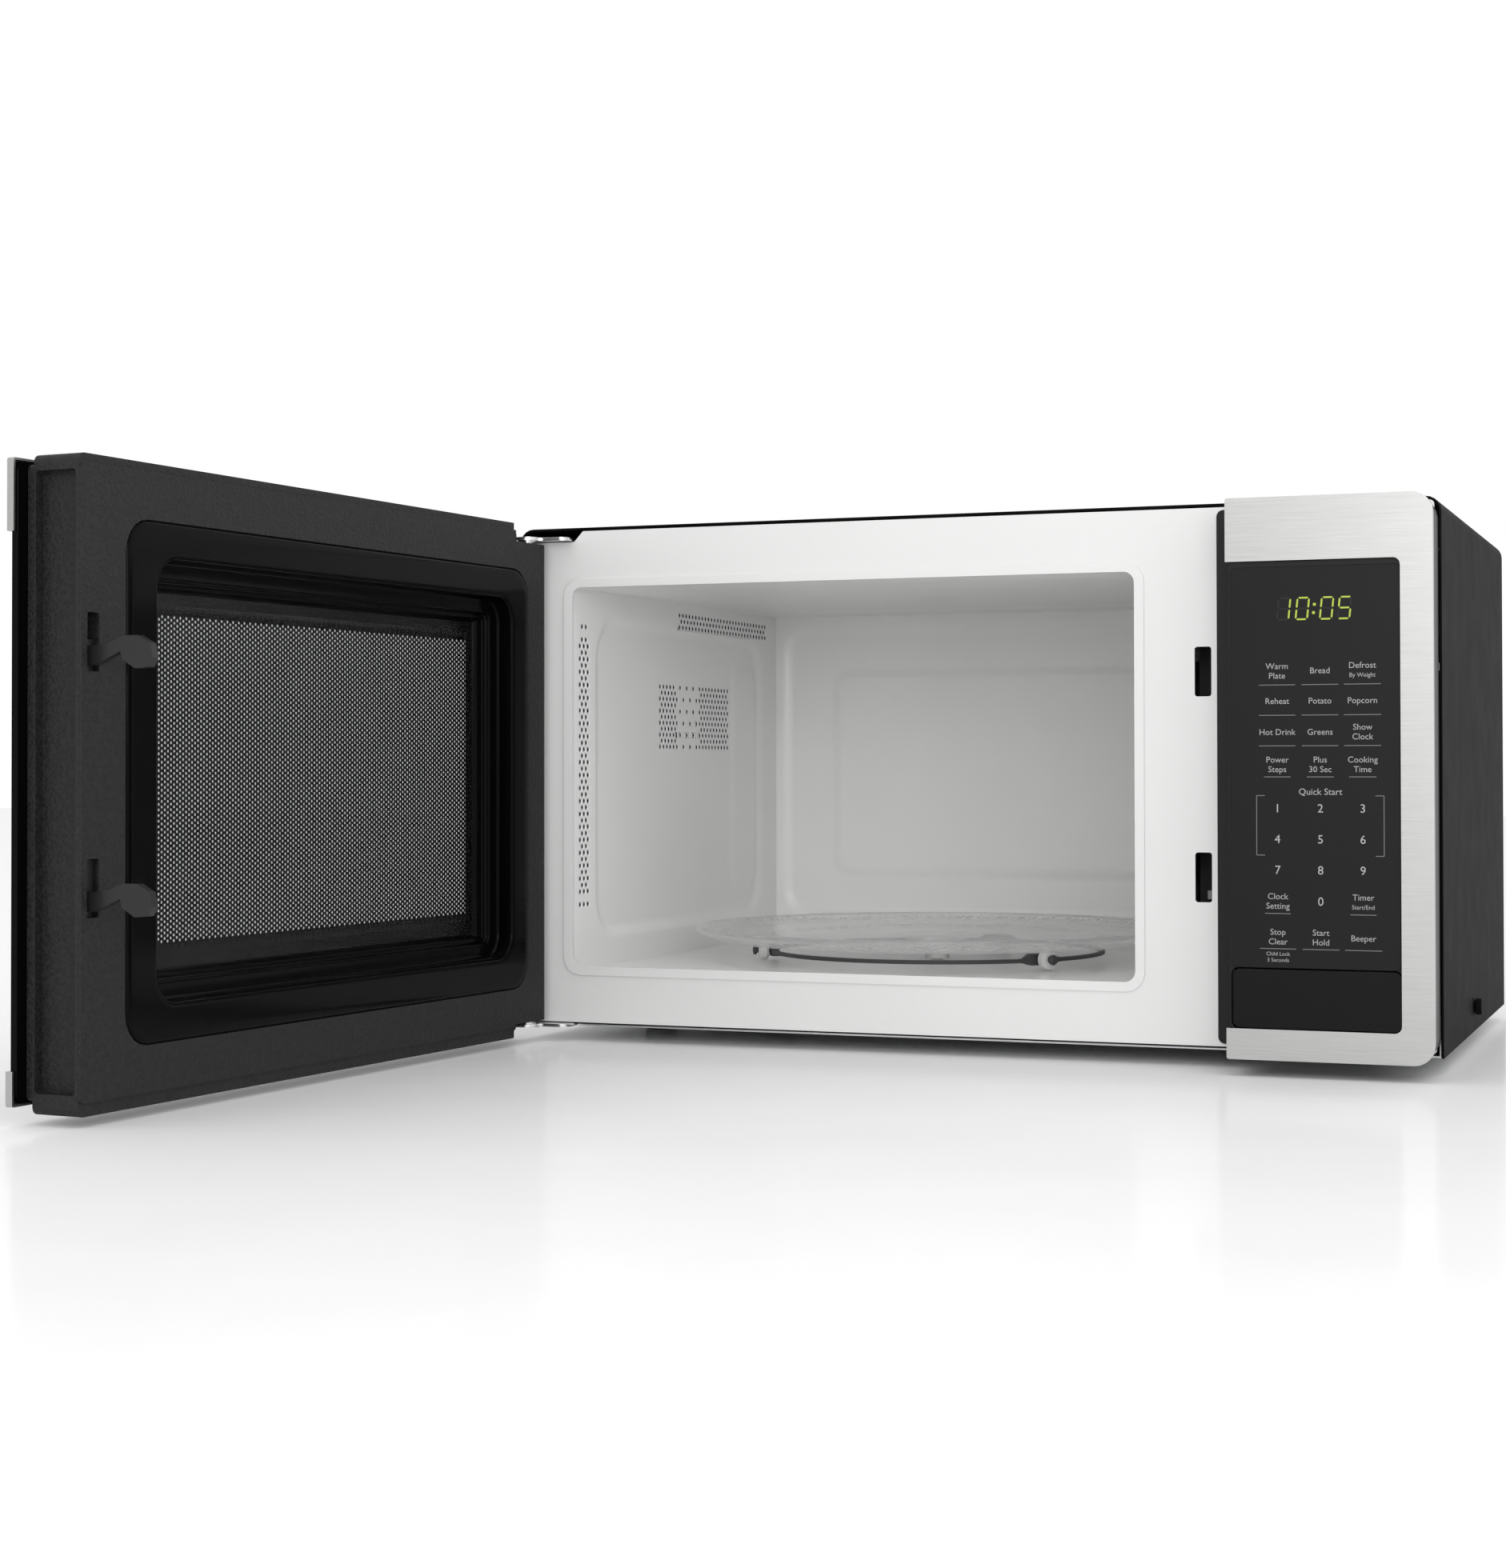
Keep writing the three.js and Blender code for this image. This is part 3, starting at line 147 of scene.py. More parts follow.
class Finish:
    """A material under construction."""

    def __init__(self, name, **constants):
        self.material = bpy.data.materials.new(name)
        self.material.use_nodes = True
        self.nodes = self.material.node_tree.nodes
        self.links = self.material.node_tree.links
        self.shader = self.nodes["Principled BSDF"]
        for socket, value in constants.items():
            self.set(socket.replace("_", " ").title().replace("Ior", "IOR"), value)

    def set(self, socket, value):
        """A constant or a link on one socket of the shader."""
        if isinstance(value, Value):
            self.links.new(value.socket, self.shader.inputs[socket])
        else:
            self.shader.inputs[socket].default_value = (*value, 1) if isinstance(value, tuple) else value
        return self

    def node(self, kind, settings, sockets, output=0):
        """Any node: its settings first, then its sockets as constants or links."""
        node = self.nodes.new(kind)
        for name, value in settings.items():
            setattr(node, name, value)
        for key, value in sockets.items():
            if isinstance(value, Value):
                self.links.new(value.socket, node.inputs[key])
            else:
                node.inputs[key].default_value = value
        return Value(self, node.outputs[output])

    def place(self):
        """Where a point lies on the object, in metres."""
        return self.node("ShaderNodeTexCoord", {}, {}, "Object")

    def noise(self, size, detail=2.0, vector=None, roughness=0.5):
        """Smooth noise whose features are about that many millimetres across."""
        sockets = {"Vector": vector or self.place(), "Scale": 1 / (size * MM)}
        sockets.update({"Detail": detail, "Roughness": roughness})
        return self.node("ShaderNodeTexNoise", {}, sockets)

    def mix(self, factor, first, second):
        """A colour between two others."""
        sockets = {"Factor": factor, 6: (*first, 1), 7: (*second, 1)}
        return self.node("ShaderNodeMix", {"data_type": "RGBA"}, sockets, 2)

    def bump(self, height, depth, strength=1.0):
        """Fine relief, so many millimetres deep."""
        sockets = {"Height": height, "Distance": depth * MM, "Strength": strength}
        return self.set("Normal", self.node("ShaderNodeBump", {}, sockets))


print("shader arithmetic is ready")

# %% [markdown]
# Painted and moulded surfaces. White enamel has a faint orange peel and a slow drift in tone.
# Black powder coat is a fine even grain. Moulded plastic copies the grain of its steel mould: the
# door's inner plate has a leather-like one, made from cells with soft edges.


# %% Paints and plastics
def enamel(name, colour, roughness):
    paint = Finish(name, coat_weight=0.25, coat_roughness=0.12, specular_ior_level=0.4)
    drift = paint.noise(60, 2)
    dark = tuple(0.955 * c for c in colour)
    paint.set("Base Color", paint.mix(drift, dark, colour))
    paint.set("Roughness", roughness + 0.06 * paint.noise(8, 3))
    paint.bump(paint.noise(2.4, 1), 0.012)
    return paint.material


def powder_coat(name, colour, roughness, grain=0.7, relief=0.03, shine=0.1):
    paint = Finish(name, specular_ior_level=shine)
    speck = paint.noise(grain, 2)
    lighter = tuple(1.5 * c + 0.004 for c in colour)
    paint.set("Base Color", paint.mix((speck * 1.6 - 0.4).clamp(), colour, lighter))
    paint.set("Roughness", roughness + 0.1 * paint.noise(20, 2))
    paint.bump(speck, relief)
    return paint.material


def moulded(name, colour, roughness, grain=0.9, relief=0.008, shine=0.22):
    plastic = Finish(name, specular_ior_level=shine)
    drift = plastic.noise(35, 3)
    darker = tuple(0.85 * c for c in colour)
    plastic.set("Base Color", plastic.mix(drift, darker, colour))
    plastic.set("Roughness", roughness + 0.05 * (plastic.noise(12, 3) - 0.5))
    plastic.bump(plastic.noise(grain, 2), relief)
    return plastic.material


def leather_grain(name, colour):
    plastic = Finish(name, specular_ior_level=0.28)
    wander = plastic.noise(2.5, 2)
    place = plastic.place()
    sockets = {"Vector": place, "Scale": 700, "Smoothness": 0.5}
    cells = plastic.node("ShaderNodeTexVoronoi", {"feature": "SMOOTH_F1"}, sockets)
    height = cells * 0.7 + 0.5 * wander
    light = tuple(2.1 * c for c in colour)
    plastic.set("Base Color", plastic.mix((height * 2.2 - 0.75).clamp(), colour, light))
    plastic.set("Roughness", 0.5 + 0.2 * cells)
    plastic.bump(height, 0.3)
    return plastic.material


white_enamel = enamel("white enamel", (0.76, 0.76, 0.755), 0.3)
# The cavity's enamel is a lighter copy of the front's white enamel. Its extra lightness is painted light that
# makes up for the shade inside the cavity.
lightened_cavity_enamel = enamel("cavity enamel, painted lighter", (0.9, 0.9, 0.895), 0.3)
black_coat = powder_coat("black powder coat", (0.0045, 0.0045, 0.005), 0.5, 1.2, 0.012, 0.02)
rear_coat = powder_coat("rear black coat", (0.01, 0.01, 0.01), 0.45, 1.1, 0.04)
door_grain = leather_grain("grained door plastic", (0.0085, 0.0085, 0.009))
gloss_black = moulded("polished black plastic", (0.002, 0.002, 0.0022), 0.12, 4.0, 0.004, 0.06)
screen_black = moulded("black enamelled screen", (0.006, 0.006, 0.0065), 0.22, 3.0, 0.004)
satin_black = moulded("satin black plastic", (0.009, 0.009, 0.0095), 0.38)
hook_plastic = moulded("hook plastic", (0.018, 0.018, 0.0185), 0.33, shine=0.3)
fascia_plastic = moulded("fascia film", (0.0085, 0.0085, 0.009), 0.34, 1.4, 0.006, 0.16)
button_plastic = moulded("button plastic", (0.0045, 0.0045, 0.005), 0.2, 1.4, 0.006, 0.14)
white_plastic = moulded("white moulding", (0.8, 0.8, 0.79), 0.42, shine=0.4)
grey_plastic = moulded("grey moulding", (0.075, 0.075, 0.077), 0.4)
rubber = powder_coat("moulded rubber", (0.018, 0.018, 0.018), 0.75, 1.2, 0.05)
mica = powder_coat("pressed mica sheet", (0.42, 0.36, 0.26), 0.7, 3.0, 0.04)
print("paints and plastics:", len(bpy.data.materials))

# %% [markdown]
# Metals. A brushed skin is polished with a belt along its length, so its scratches are noise that
# is stretched a hundredfold along x. The door swings but keeps its own grain, because the noise is
# turned with it. Zinc plating is bright with a faint blotchy crystal pattern.


# %% Metals
def brushed(name, colour, turn):
    steel = Finish(name, metallic=1.0)
    sockets = {"Vector": steel.place(), "Angle": turn}
    turned = steel.node("ShaderNodeVectorRotate", {"rotation_type": "Z_AXIS"}, sockets)
    along = steel.node("ShaderNodeVectorMath", {"operation": "MULTIPLY"}, {0: turned, 1: (1, 70, 70)})
    fine = steel.node("ShaderNodeTexNoise", {}, {"Vector": along, "Scale": 45, "Detail": 3.0})
    coarse = steel.node("ShaderNodeTexNoise", {}, {"Vector": along, "Scale": 14, "Detail": 2.0})
    dark = tuple(0.8 * c for c in colour)
    steel.set("Base Color", steel.mix((1.8 * fine + 0.5 * coarse - 0.65).clamp(), dark, colour))
    steel.set("Roughness", 0.3 + 0.12 * fine)
    steel.bump(fine, 0.008, 0.5)
    return steel.material


def plated(name, colour, roughness, blotch=6.0):
    metal = Finish(name, metallic=1.0)
    crystal = metal.node("ShaderNodeTexVoronoi", {}, {"Vector": metal.place(), "Scale": 1 / (blotch * MM)})
    dark = tuple(0.82 * c for c in colour)
    metal.set("Base Color", metal.mix(0.6 * crystal + 0.3 * metal.noise(2, 2), dark, colour))
    metal.set("Roughness", roughness + 0.12 * metal.noise(3, 3))
    metal.bump(metal.noise(1.2, 2), 0.01)
    return metal.material


cabinet_steel = brushed("brushed steel", (0.5, 0.498, 0.492), 0.0)
door_steel = brushed("brushed door steel", (0.5, 0.498, 0.492), open_angle)
zinc = plated("zinc plating", (0.72, 0.73, 0.74), 0.26)
bright_zinc = plated("bright zinc", (0.88, 0.88, 0.89), 0.16, 4.0)
iron = plated("stacked iron", (0.16, 0.16, 0.17), 0.5, 2.0)
copper = plated("varnished copper wire", (0.72, 0.36, 0.18), 0.3, 1.5)
print("metals:", [m.name for m in (cabinet_steel, door_steel, zinc, bright_zinc, iron, copper)])

# %% [markdown]
# Clear and lit parts. The tray is pressed soda glass: clear, with a pebbled underside that hides
# scratches. The door's pane is smoked, so a bright room behind it shows through the screen's holes.
# The clock is a fluorescent display, whose segments give their own yellow-green light.


# %% Glass, film and light
def pressed_glass(name, pebbled):
    glass = Finish(name, transmission_weight=1.0, ior=1.45, base_color=(0.99, 0.995, 0.99), alpha=0.5)
    glass.set("Roughness", 0.02 + 0.03 * glass.noise(5, 2))
    if pebbled:
        sockets = {"Vector": glass.place(), "Scale": 420}
        cells = glass.node("ShaderNodeTexVoronoi", {"feature": "SMOOTH_F1"}, sockets)
        glass.bump(cells, 0.9)
    else:
        glass.bump(glass.noise(40, 1), 0.05)
    return glass.material


def see_through(name, tint, alpha, roughness):
    film = Finish(name, base_color=tint, specular_ior_level=0.12)
    film.set("Roughness", roughness + 0.03 * film.noise(30, 2))
    film.set("Alpha", alpha + 0.02 * (film.noise(50, 2) - 0.5))
    return film.material


def print_ink(name, colour):
    ink = Finish(name, specular_ior_level=0.2)
    ink.set("Base Color", ink.mix(ink.noise(0.8, 2), tuple(0.85 * c for c in colour), colour))
    ink.set("Roughness", 0.45 + 0.1 * ink.noise(2, 2))
    return ink.material


def lit(name, colour, strength):
    light = Finish(name, base_color=(0.02, 0.03, 0.01), emission_strength=strength)
    fade = light.noise(1.5, 1)
    light.set("Emission Color", light.mix(fade, tuple(0.8 * c for c in colour), colour))
    light.set("Roughness", 0.4 + 0.05 * fade)
    return light.material


def circuit_board(name):
    board = Finish(name, specular_ior_level=0.4)
    track = (board.noise(2.5, 0) * 14).sine()
    board.set("Base Color", board.mix(track.clamp(), (0.02, 0.09, 0.035), (0.05, 0.2, 0.08)))
    board.set("Roughness", 0.4 + 0.1 * board.noise(4, 2))
    board.bump(track, 0.03)
    return board.material


tray_glass = pressed_glass("pressed glass", False)
pebbled_glass = pressed_glass("pebbled glass", True)
smoked_pane = see_through("smoked pane", (0.006, 0.006, 0.006), 0.26, 0.04)
clear_film = see_through("clear film", (0.02, 0.02, 0.02), 0.05, 0.06)
label_ink = print_ink("grey label ink", (0.36, 0.36, 0.365))
digit_ink = print_ink("light digit ink", (0.4, 0.4, 0.405))
line_ink = print_ink("grey line ink", (0.2, 0.2, 0.205))
clock_light = lit("lit clock segment", (0.55, 0.66, 0.05), 0.9)
dark_segment = print_ink("unlit clock segment", (0.017, 0.018, 0.017))
laminate = circuit_board("circuit board")
print("materials in all:", len(bpy.data.materials))

# %% [markdown]
# Sheet metal and mouldings never have knife edges. Each CAD solid keeps its own mesh, and three
# modifiers finish it: Weld closes the seams the file format leaves, Bevel rounds what is sharp,
# and Weighted Normal keeps the large faces flat in the light. Thin sheet takes a smaller radius.


# %% Finish the CAD solids
def soften(thing, radius, segments=2):
    mesh = thing.data
    if mesh.has_custom_normals:
        with bpy.context.temp_override(object=thing, active_object=thing, selected_objects=[thing]):
            bpy.ops.mesh.customdata_custom_splitnormals_clear()
    mesh.shade_smooth()
    weld = thing.modifiers.new("weld", "WELD")
    weld.merge_threshold = 1e-5
    bevel = thing.modifiers.new("bevel", "BEVEL")
    bevel.width, bevel.segments = radius * MM, segments
    bevel.limit_method, bevel.angle_limit = "ANGLE", math.radians(32)
    bevel.use_clamp_overlap = True
    thing.modifiers.new("flat faces", "WEIGHTED_NORMAL").keep_sharp = True


def dress(node, material, radius=0.25, segments=2):
    thing = frame["nodes"][node]
    thing.data.materials.clear()
    thing.data.materials.append(material)
    soften(thing, radius, segments)
    return thing


dressed = {
    "base_plate": (zinc, 0.2),
    "foot_front_left": (rubber, 0.6),
    "foot_front_right": (rubber, 0.6),
    "foot_rear_left": (rubber, 0.6),
    "foot_rear_right": (rubber, 0.6),
    "front_plate": (white_enamel, 0.35),
    "outer_wrapper": (black_coat, 0.3),
    "wrapper_screw_right": (black_coat, 0.7),
    "wrapper_screw_left": (black_coat, 0.7),
    "rear_panel": (rear_coat, 0.5),
    "cord_gland": (rubber, 0.6),
    "hinge_upper": (bright_zinc, 0.35),
    "hinge_lower": (bright_zinc, 0.35),
    "turntable_motor": (zinc, 0.4),
    "drive_coupler": (white_plastic, 0.5),
    "roller_1": (white_plastic, 0.4),
    "roller_2": (white_plastic, 0.4),
    "roller_3": (white_plastic, 0.4),
    "waveguide_cover": (mica, 0.15),
    "waveguide": (zinc, 0.3),
    "magnetron": (zinc, 0.3),
    "magnetron_yoke": (zinc, 0.5),
    "transformer_core": (iron, 0.4),
    "transformer_windings": (copper, 1.0),
    "high_voltage_capacitor": (zinc, 0.3),
    "capacitor_clamp": (zinc, 0.2),
    "high_voltage_diode": (satin_black, 0.4),
    "fan_shroud": (white_plastic, 0.4),
    "fan_motor": (zinc, 0.4),
    "fan_blade": (white_plastic, 0.3),
    "cavity_lamp": (tray_glass, 0.3),
    "lamp_socket": (zinc, 0.2),
    "thermal_cutout": (zinc, 0.2),
    "line_filter_board": (laminate, 0.3),
    "fuse": (tray_glass, 0.3),
    "latch_housing": (grey_plastic, 0.3),
    "interlock_switch_upper": (satin_black, 0.3),
    "interlock_switch_lower": (satin_black, 0.3),
    "monitor_switch": (satin_black, 0.3),
    "open_lever": (white_plastic, 0.4),
    "control_panel_housing": (satin_black, 0.5),
    "control_panel_trim": (cabinet_steel, 0.55),
    "display_module": (satin_black, 0.3),
    "control_board": (laminate, 0.3),
    "door_open_button": (button_plastic, 0.9),
    "button_spring": (zinc, 0.05),
    "door_frame": (door_grain, 0.4),
    "door_trim": (door_steel, 0.55),
    "door_film": (clear_film, 0.1),
    "latch_plate": (hook_plastic, 0.45),
    "latch_spring": (zinc, 0.05),
}
for node, (material, radius) in dressed.items():
    dress(node, material, radius, 3 if radius > 0.5 else 2)
print("CAD solids with a finish:", len(dressed))

# %% [markdown]
# The rest is built as new pieces. Each starts as lists of points and faces, gets its finish, rides
# on the CAD body that it belongs to, and names the solid that it stands for.


# %% Make a piece
def piece(name, points, faces, material, body, slot, stands_for=(), smooth=True):
    mesh = bpy.data.meshes.new(name)
    mesh.from_pydata(points, [], faces)
    mesh.materials.append(material)
    mesh.validate()
    for polygon in mesh.polygons:
        polygon.use_smooth = smooth
    thing = bpy.data.objects.new(name, mesh)
    bpy.context.scene.collection.objects.link(thing)
    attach(thing, body)
    if stands_for:
        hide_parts(*stands_for)
    return thing


def tidy(thing, distance=0.02):
    """Joins points that coincide and turns every face outwards."""
    work = bmesh.new()
    work.from_mesh(thing.data)
    bmesh.ops.remove_doubles(work, verts=work.verts, dist=distance * MM)
    bmesh.ops.recalc_face_normals(work, faces=work.faces)
    work.to_mesh(thing.data)
    work.free()
    return thing


def rounded_loop(x0, x1, z0, z1, radius, steps=8):
    """Points round a rectangle with round corners, anticlockwise from the lower left corner."""
    centres = [
        (x0 + radius, z0 + radius, 180),
        (x1 - radius, z0 + radius, 270),
        (x1 - radius, z1 - radius, 0),
        (x0 + radius, z1 - radius, 90),
    ]
    loop = []
    for cx, cz, start in centres:
        for step in range(steps + 1):
            angle = math.radians(start + 90 * step / steps)
            loop.append((cx + radius * math.cos(angle), cz + radius * math.sin(angle)))
    return loop


def skin(loops, closed_ends=False):
    """Faces between loops of equal length, each joined to the next."""
    count = len(loops[0])
    points = [point for loop in loops for point in loop]
    faces = []
    for row in range(len(loops) - 1):
        a, b = row * count, (row + 1) * count
        faces += [(a + i, a + (i + 1) % count, b + (i + 1) % count, b + i) for i in range(count)]
    if closed_ends:
        faces += [tuple(range(count)), tuple(reversed(range(len(points) - count, len(points))))]
    return points, faces


print("piece helpers are ready")

# %% [markdown]
# The cavity is pressed from thin enamelled steel. Its side and rear walls have shallow panels that
# stiffen them, with soft shoulders. Each wall is a grid of points whose depth is a formula: how far
# the point lies inside a rounded rectangle, eased from 0 to 1. The vents are real holes. A window
# is left out of the grid, and a staggered pattern of small cells, each with a hole, fills it.


# %% Pressed walls with vents
def inside(u, v, area, radius):
    """Distance into a rounded rectangle, negative outside it."""
    u0, u1, v0, v1 = area
    du = abs(u - (u0 + u1) / 2) - (u1 - u0) / 2 + radius
    dv = abs(v - (v0 + v1) / 2) - (v1 - v0) / 2 + radius
    return radius - math.hypot(max(du, 0), max(dv, 0)) - min(max(du, dv), 0)


def ease(distance, shoulder):
    t = min(max(distance / shoulder + 0.5, 0), 1)
    return t * t * (3 - 2 * t)


def wall_grid(u_range, v_range, pitch, relief, windows):
    """A grid over a wall, with lines on every window's edges and the windows left out."""

    def lines(low, high, edges):
        stops = sorted({low, high, *(e for e in edges if low < e < high)})
        marks = []
        for a, b in zip(stops, stops[1:]):
            parts = max(1, round((b - a) / pitch))
            marks += [a + (b - a) * i / parts for i in range(parts)]
        return [*marks, high]

    us = lines(*u_range, [edge for w in windows for edge in w[:2]])
    vs = lines(*v_range, [edge for w in windows for edge in w[2:]])
    points = [(u, v, relief(u, v)) for v in vs for u in us]
    faces = []
    for j in range(len(vs) - 1):
        for i in range(len(us) - 1):
            mu, mv = (us[i] + us[i + 1]) / 2, (vs[j] + vs[j + 1]) / 2
            if any(u0 < mu < u1 and v0 < mv < v1 for u0, u1, v0, v1 in windows):
                continue
            corner = j * len(us) + i
            faces.append((corner, corner + 1, corner + len(us) + 1, corner + len(us)))
    return points, faces


def vent_cells(u0, v0, columns, rows, pitch_u, pitch_v, hole, depth, level, present, sides=8):
    """Staggered cells from a corner. Each has a walled hole of 6 or 8 sides if present(row, column)."""
    points, faces = [], []

    def add_quad(a, b, c, d):
        start = len(points)
        points.extend([(a, c, level), (b, c, level), (b, d, level), (a, d, level)])
        faces.append((start, start + 1, start + 2, start + 3))

    right = u0 + columns * pitch_u
    for row in range(rows):
        low, high = v0 + row * pitch_v, v0 + (row + 1) * pitch_v
        shift = pitch_u / 2 if row % 2 else 0
        if shift:
            add_quad(u0, u0 + shift, low, high)
            add_quad(right - shift, right, low, high)
        for column in range(columns - (1 if shift else 0)):
            a = u0 + shift + column * pitch_u
            b = a + pitch_u
            if not present(row, column):
                add_quad(a, b, low, high)
                continue
            cu, cv = (a + b) / 2, (low + high) / 2
            start = len(points)
            rim = [(b, cv), (b, high), (cu, high), (a, high), (a, cv), (a, low), (cu, low), (b, low)]
            if sides == 6:
                rim = [spot for spot in rim if spot[0] != cu]
            points.extend((u, v, level) for u, v in rim)
            turns = [2 * math.pi * k / sides for k in range(sides)]
            for reach in (level, level + depth):
                points.extend((cu + hole * math.cos(t), cv + hole * math.sin(t), reach) for t in turns)
            for k in range(sides):
                n = (k + 1) % sides
                front, back = start + sides, start + 2 * sides
                faces.append((start + k, start + n, front + n, front + k))
                faces.append((front + k, front + n, back + n, back + k))
    return points, faces


print("a shoulder of 6 mm is half way at its edge:", ease(0, 6))

# %% [markdown]
# The walls' measures follow from the CAD cavity's own box. The left wall has three groups of vents:
# a narrow strip by the door, a band along the top at the back, and a patch with a sparse middle,
# where the steam leaves.

# %% The cavity
SHEET = 1.0
EMBOSS = 2.0
VENT_U, VENT_V, VENT_HOLE, VENT_WALL = 4.65, 3.25, 1.33, 0.35
cavity_left = (cavity_low.x - left) / MM + SHEET + EMBOSS
cavity_right = (cavity_high.x - left) / MM - SHEET
cavity_back = (cavity_high.y - face) / MM - SHEET - EMBOSS
cavity_floor = cavity_low.z / MM + SHEET
cavity_ceiling = cavity_high.z / MM - SHEET
cavity_front = (cavity_low.y - face) / MM
strip_columns, strip_rows = 3, 44
strip = (7.1, 7.1 + strip_columns * VENT_U, 58.1, 58.1 + strip_rows * VENT_V)
band_columns, band_rows = 29, 3
band = (135.8, 135.8 + band_columns * VENT_U, 203.8, 203.8 + band_rows * VENT_V)
patch_columns, patch_rows = 22, 11
patch = (113.3, 113.3 + patch_columns * VENT_U, 138.2, 138.2 + patch_rows * VENT_V)


def left_relief(y, z):
    """The side wall's panel, with a shallower raised field inside it at the back."""
    panel = ease(inside(y, z, (31, 260, 44, 203), 20), 6)
    field = ease(inside(y, z, (219, 256, 58, 186), 12), 5)
    return -EMBOSS * panel + 0.9 * field


def rear_relief(x, z):
    panel = ease(inside(x, z, (cavity_left + 7, cavity_right - 7, 42, cavity_ceiling - 8), 14), 4)
    field = ease(inside(x, z, (cavity_left + 38, cavity_right - 38, 66, 184), 8), 4)
    return EMBOSS * panel - 1.1 * field


def in_strip(row, column):
    """The strip's lone first and last rows are one row away from the rest."""
    return row not in (1, strip_rows - 2)


def in_patch(row, column):
    """Both ends of each row are full, and every other hole is missing from the middle."""
    first, last = 5, 12
    if row % 2:
        return column < first or column >= last
    return column < first or column >= last or (column + row // 2) % 2 == 1


def merge(parts):
    points, faces = [], []
    for more_points, more_faces in parts:
        start = len(points)
        points += more_points
        faces += [tuple(start + i for i in face) for face in more_faces]
    return points, faces


def grid_between(u_range, v_range, pitch, relief=lambda u, v: 0.0):
    return wall_grid(u_range, v_range, pitch, relief, [])


def placed(part, place):
    points, faces = part
    return [place(*p) for p in points], faces


y_span, x_span = (cavity_front, cavity_back), (cavity_left, cavity_right)
z_span = (cavity_floor, cavity_ceiling)
vent = (VENT_U, VENT_V, VENT_HOLE, -VENT_WALL)
side_vents = merge([
    vent_cells(strip[0], strip[2], strip_columns, strip_rows, *vent, 0, in_strip),
    vent_cells(band[0], band[2], band_columns, band_rows, *vent, 0, lambda r, c: True),
    vent_cells(patch[0], patch[2], patch_columns, patch_rows, *vent, -EMBOSS, in_patch),
])
left_wall = merge([wall_grid(y_span, z_span, 2.2, left_relief, [strip, band, patch]), side_vents])
right_wall = grid_between(
    y_span, z_span, 4, lambda y, z: 0.8 * ease(inside(y, z, (40, 250, 46, 200), 20), 6)
)
rear_wall = grid_between(x_span, z_span, 2.2, rear_relief)
ceiling = grid_between(x_span, y_span, 6, lambda x, y: 0.8 * ease(inside(x, y, (60, 290, 40, 250), 20), 5))
bottom = grid_between(x_span, y_span, 3, lambda x, y: -0.9 * ease(inside(x, y, (60, 288, 30, 258), 114), 6))
walls = merge([
    placed(left_wall, lambda y, z, d: at(cavity_left + d, y, z)),
    placed(right_wall, lambda y, z, d: at(cavity_right + d, y, z)),
    placed(rear_wall, lambda x, z, d: at(x, cavity_back + d, z)),
    placed(ceiling, lambda x, y, d: at(x, y, cavity_ceiling + d)),
    placed(bottom, lambda x, y, d: at(x, y, cavity_floor + d)),
])
cavity = tidy(piece("cavity_lining", *walls, lightened_cavity_enamel, "cabinet", "white_paint", ["cavity_shell"]))
print("cavity inside, in millimetres:", [round(b - a) for a, b in (x_span, y_span, z_span)])
print("faces in the cavity:", len(cavity.data.polygons))

# %% [markdown]
# Behind the vents is a dark space. A black sheet just outside the side wall is painted shade: it stands in
# for the shade inside the real oven's black cabinet, and keeps the light of the room out of the holes.

# %% Painted shade behind the vents
backing = grid_between((cavity_front + 1, cavity_back), z_span, 20)
# A black sheet as painted shade behind the vent holes, so they read dark.
vent_shade_sheet = piece(
    "painted_vent_shade", *placed(backing, lambda y, z, d: at(cavity_left - EMBOSS - 2.5, y, z)),
    black_coat, "cabinet", "black_paint"
)
print("backing faces:", len(vent_shade_sheet.data.polygons))

# %% [markdown]
# The front opening is folded back and rounded, so a bright line runs round it. The bead is one
# profile swept round a rounded rectangle: the profile is a list of (outwards, forwards) steps.

# %% Rolled edges
opening = {
    "x0": cavity_left,
    "x1": cavity_right - 5.4,
    "z0": cavity_floor + 2.8,
    "z1": cavity_ceiling,
}


def swept_frame(area, corner, profile, place, steps=8):
    """Sweeps a profile round a rounded rectangle. Each step is (outwards, y)."""
    loops = []
    for out, y in profile:
        loop = rounded_loop(
            area["x0"] - out, area["x1"] + out, area["z0"] - out, area["z1"] + out,
            max(corner + out, 0.3), steps,
        )
        loops.append([place(x, y, z) for x, z in loop])
    return skin(loops)


def arc(centre_out, centre_y, radius, start, end, steps=6):
    """Steps of a round stretch of a profile, by angle from straight outwards towards the back."""
    angles = [math.radians(start + (end - start) * i / steps) for i in range(steps + 1)]
    return [(centre_out + radius * math.cos(a), centre_y + radius * math.sin(a)) for a in angles]


bead_profile = [
    (-0.02, 2.2),
    *arc(1.2, 0.7, 1.22, 180, 270, 6),
    (3.6, -0.52),
    *arc(3.6, 0.48, 1.0, 270, 360, 5),
]
bead = piece(
    "opening_bead", *swept_frame(opening, 5, bead_profile, at), white_enamel, "cabinet", "white_paint"
)
print("bead faces:", len(bead.data.polygons))

# %% [markdown]
# The outer wrapper's front edge is hemmed: the sheet is folded over on itself, which leaves a round
# shiny lip round the sides and the top. It is open at the bottom, so it is swept along a path.


# %% The wrapper's hem
def swept_path(path, section, place):
    """Sweeps a section along an open path in x and z. The section's steps are (inwards, y)."""
    points, faces = [], []
    for index, (x, z) in enumerate(path):
        ahead = path[min(index + 1, len(path) - 1)]
        behind = path[max(index - 1, 0)]
        dx, dz = ahead[0] - behind[0], ahead[1] - behind[1]
        length = math.hypot(dx, dz)
        nx, nz = -dz / length, dx / length
        points += [place(x + nx * step, y, z + nz * step) for step, y in section]
    count = len(section)
    for row in range(len(path) - 1):
        for i in range(count):
            a, b = row * count + i, row * count + (i + 1) % count
            faces.append((a, b, b + count, a + count))
    faces += [tuple(reversed(range(count))), tuple(range(len(points) - count, len(points)))]
    return points, faces


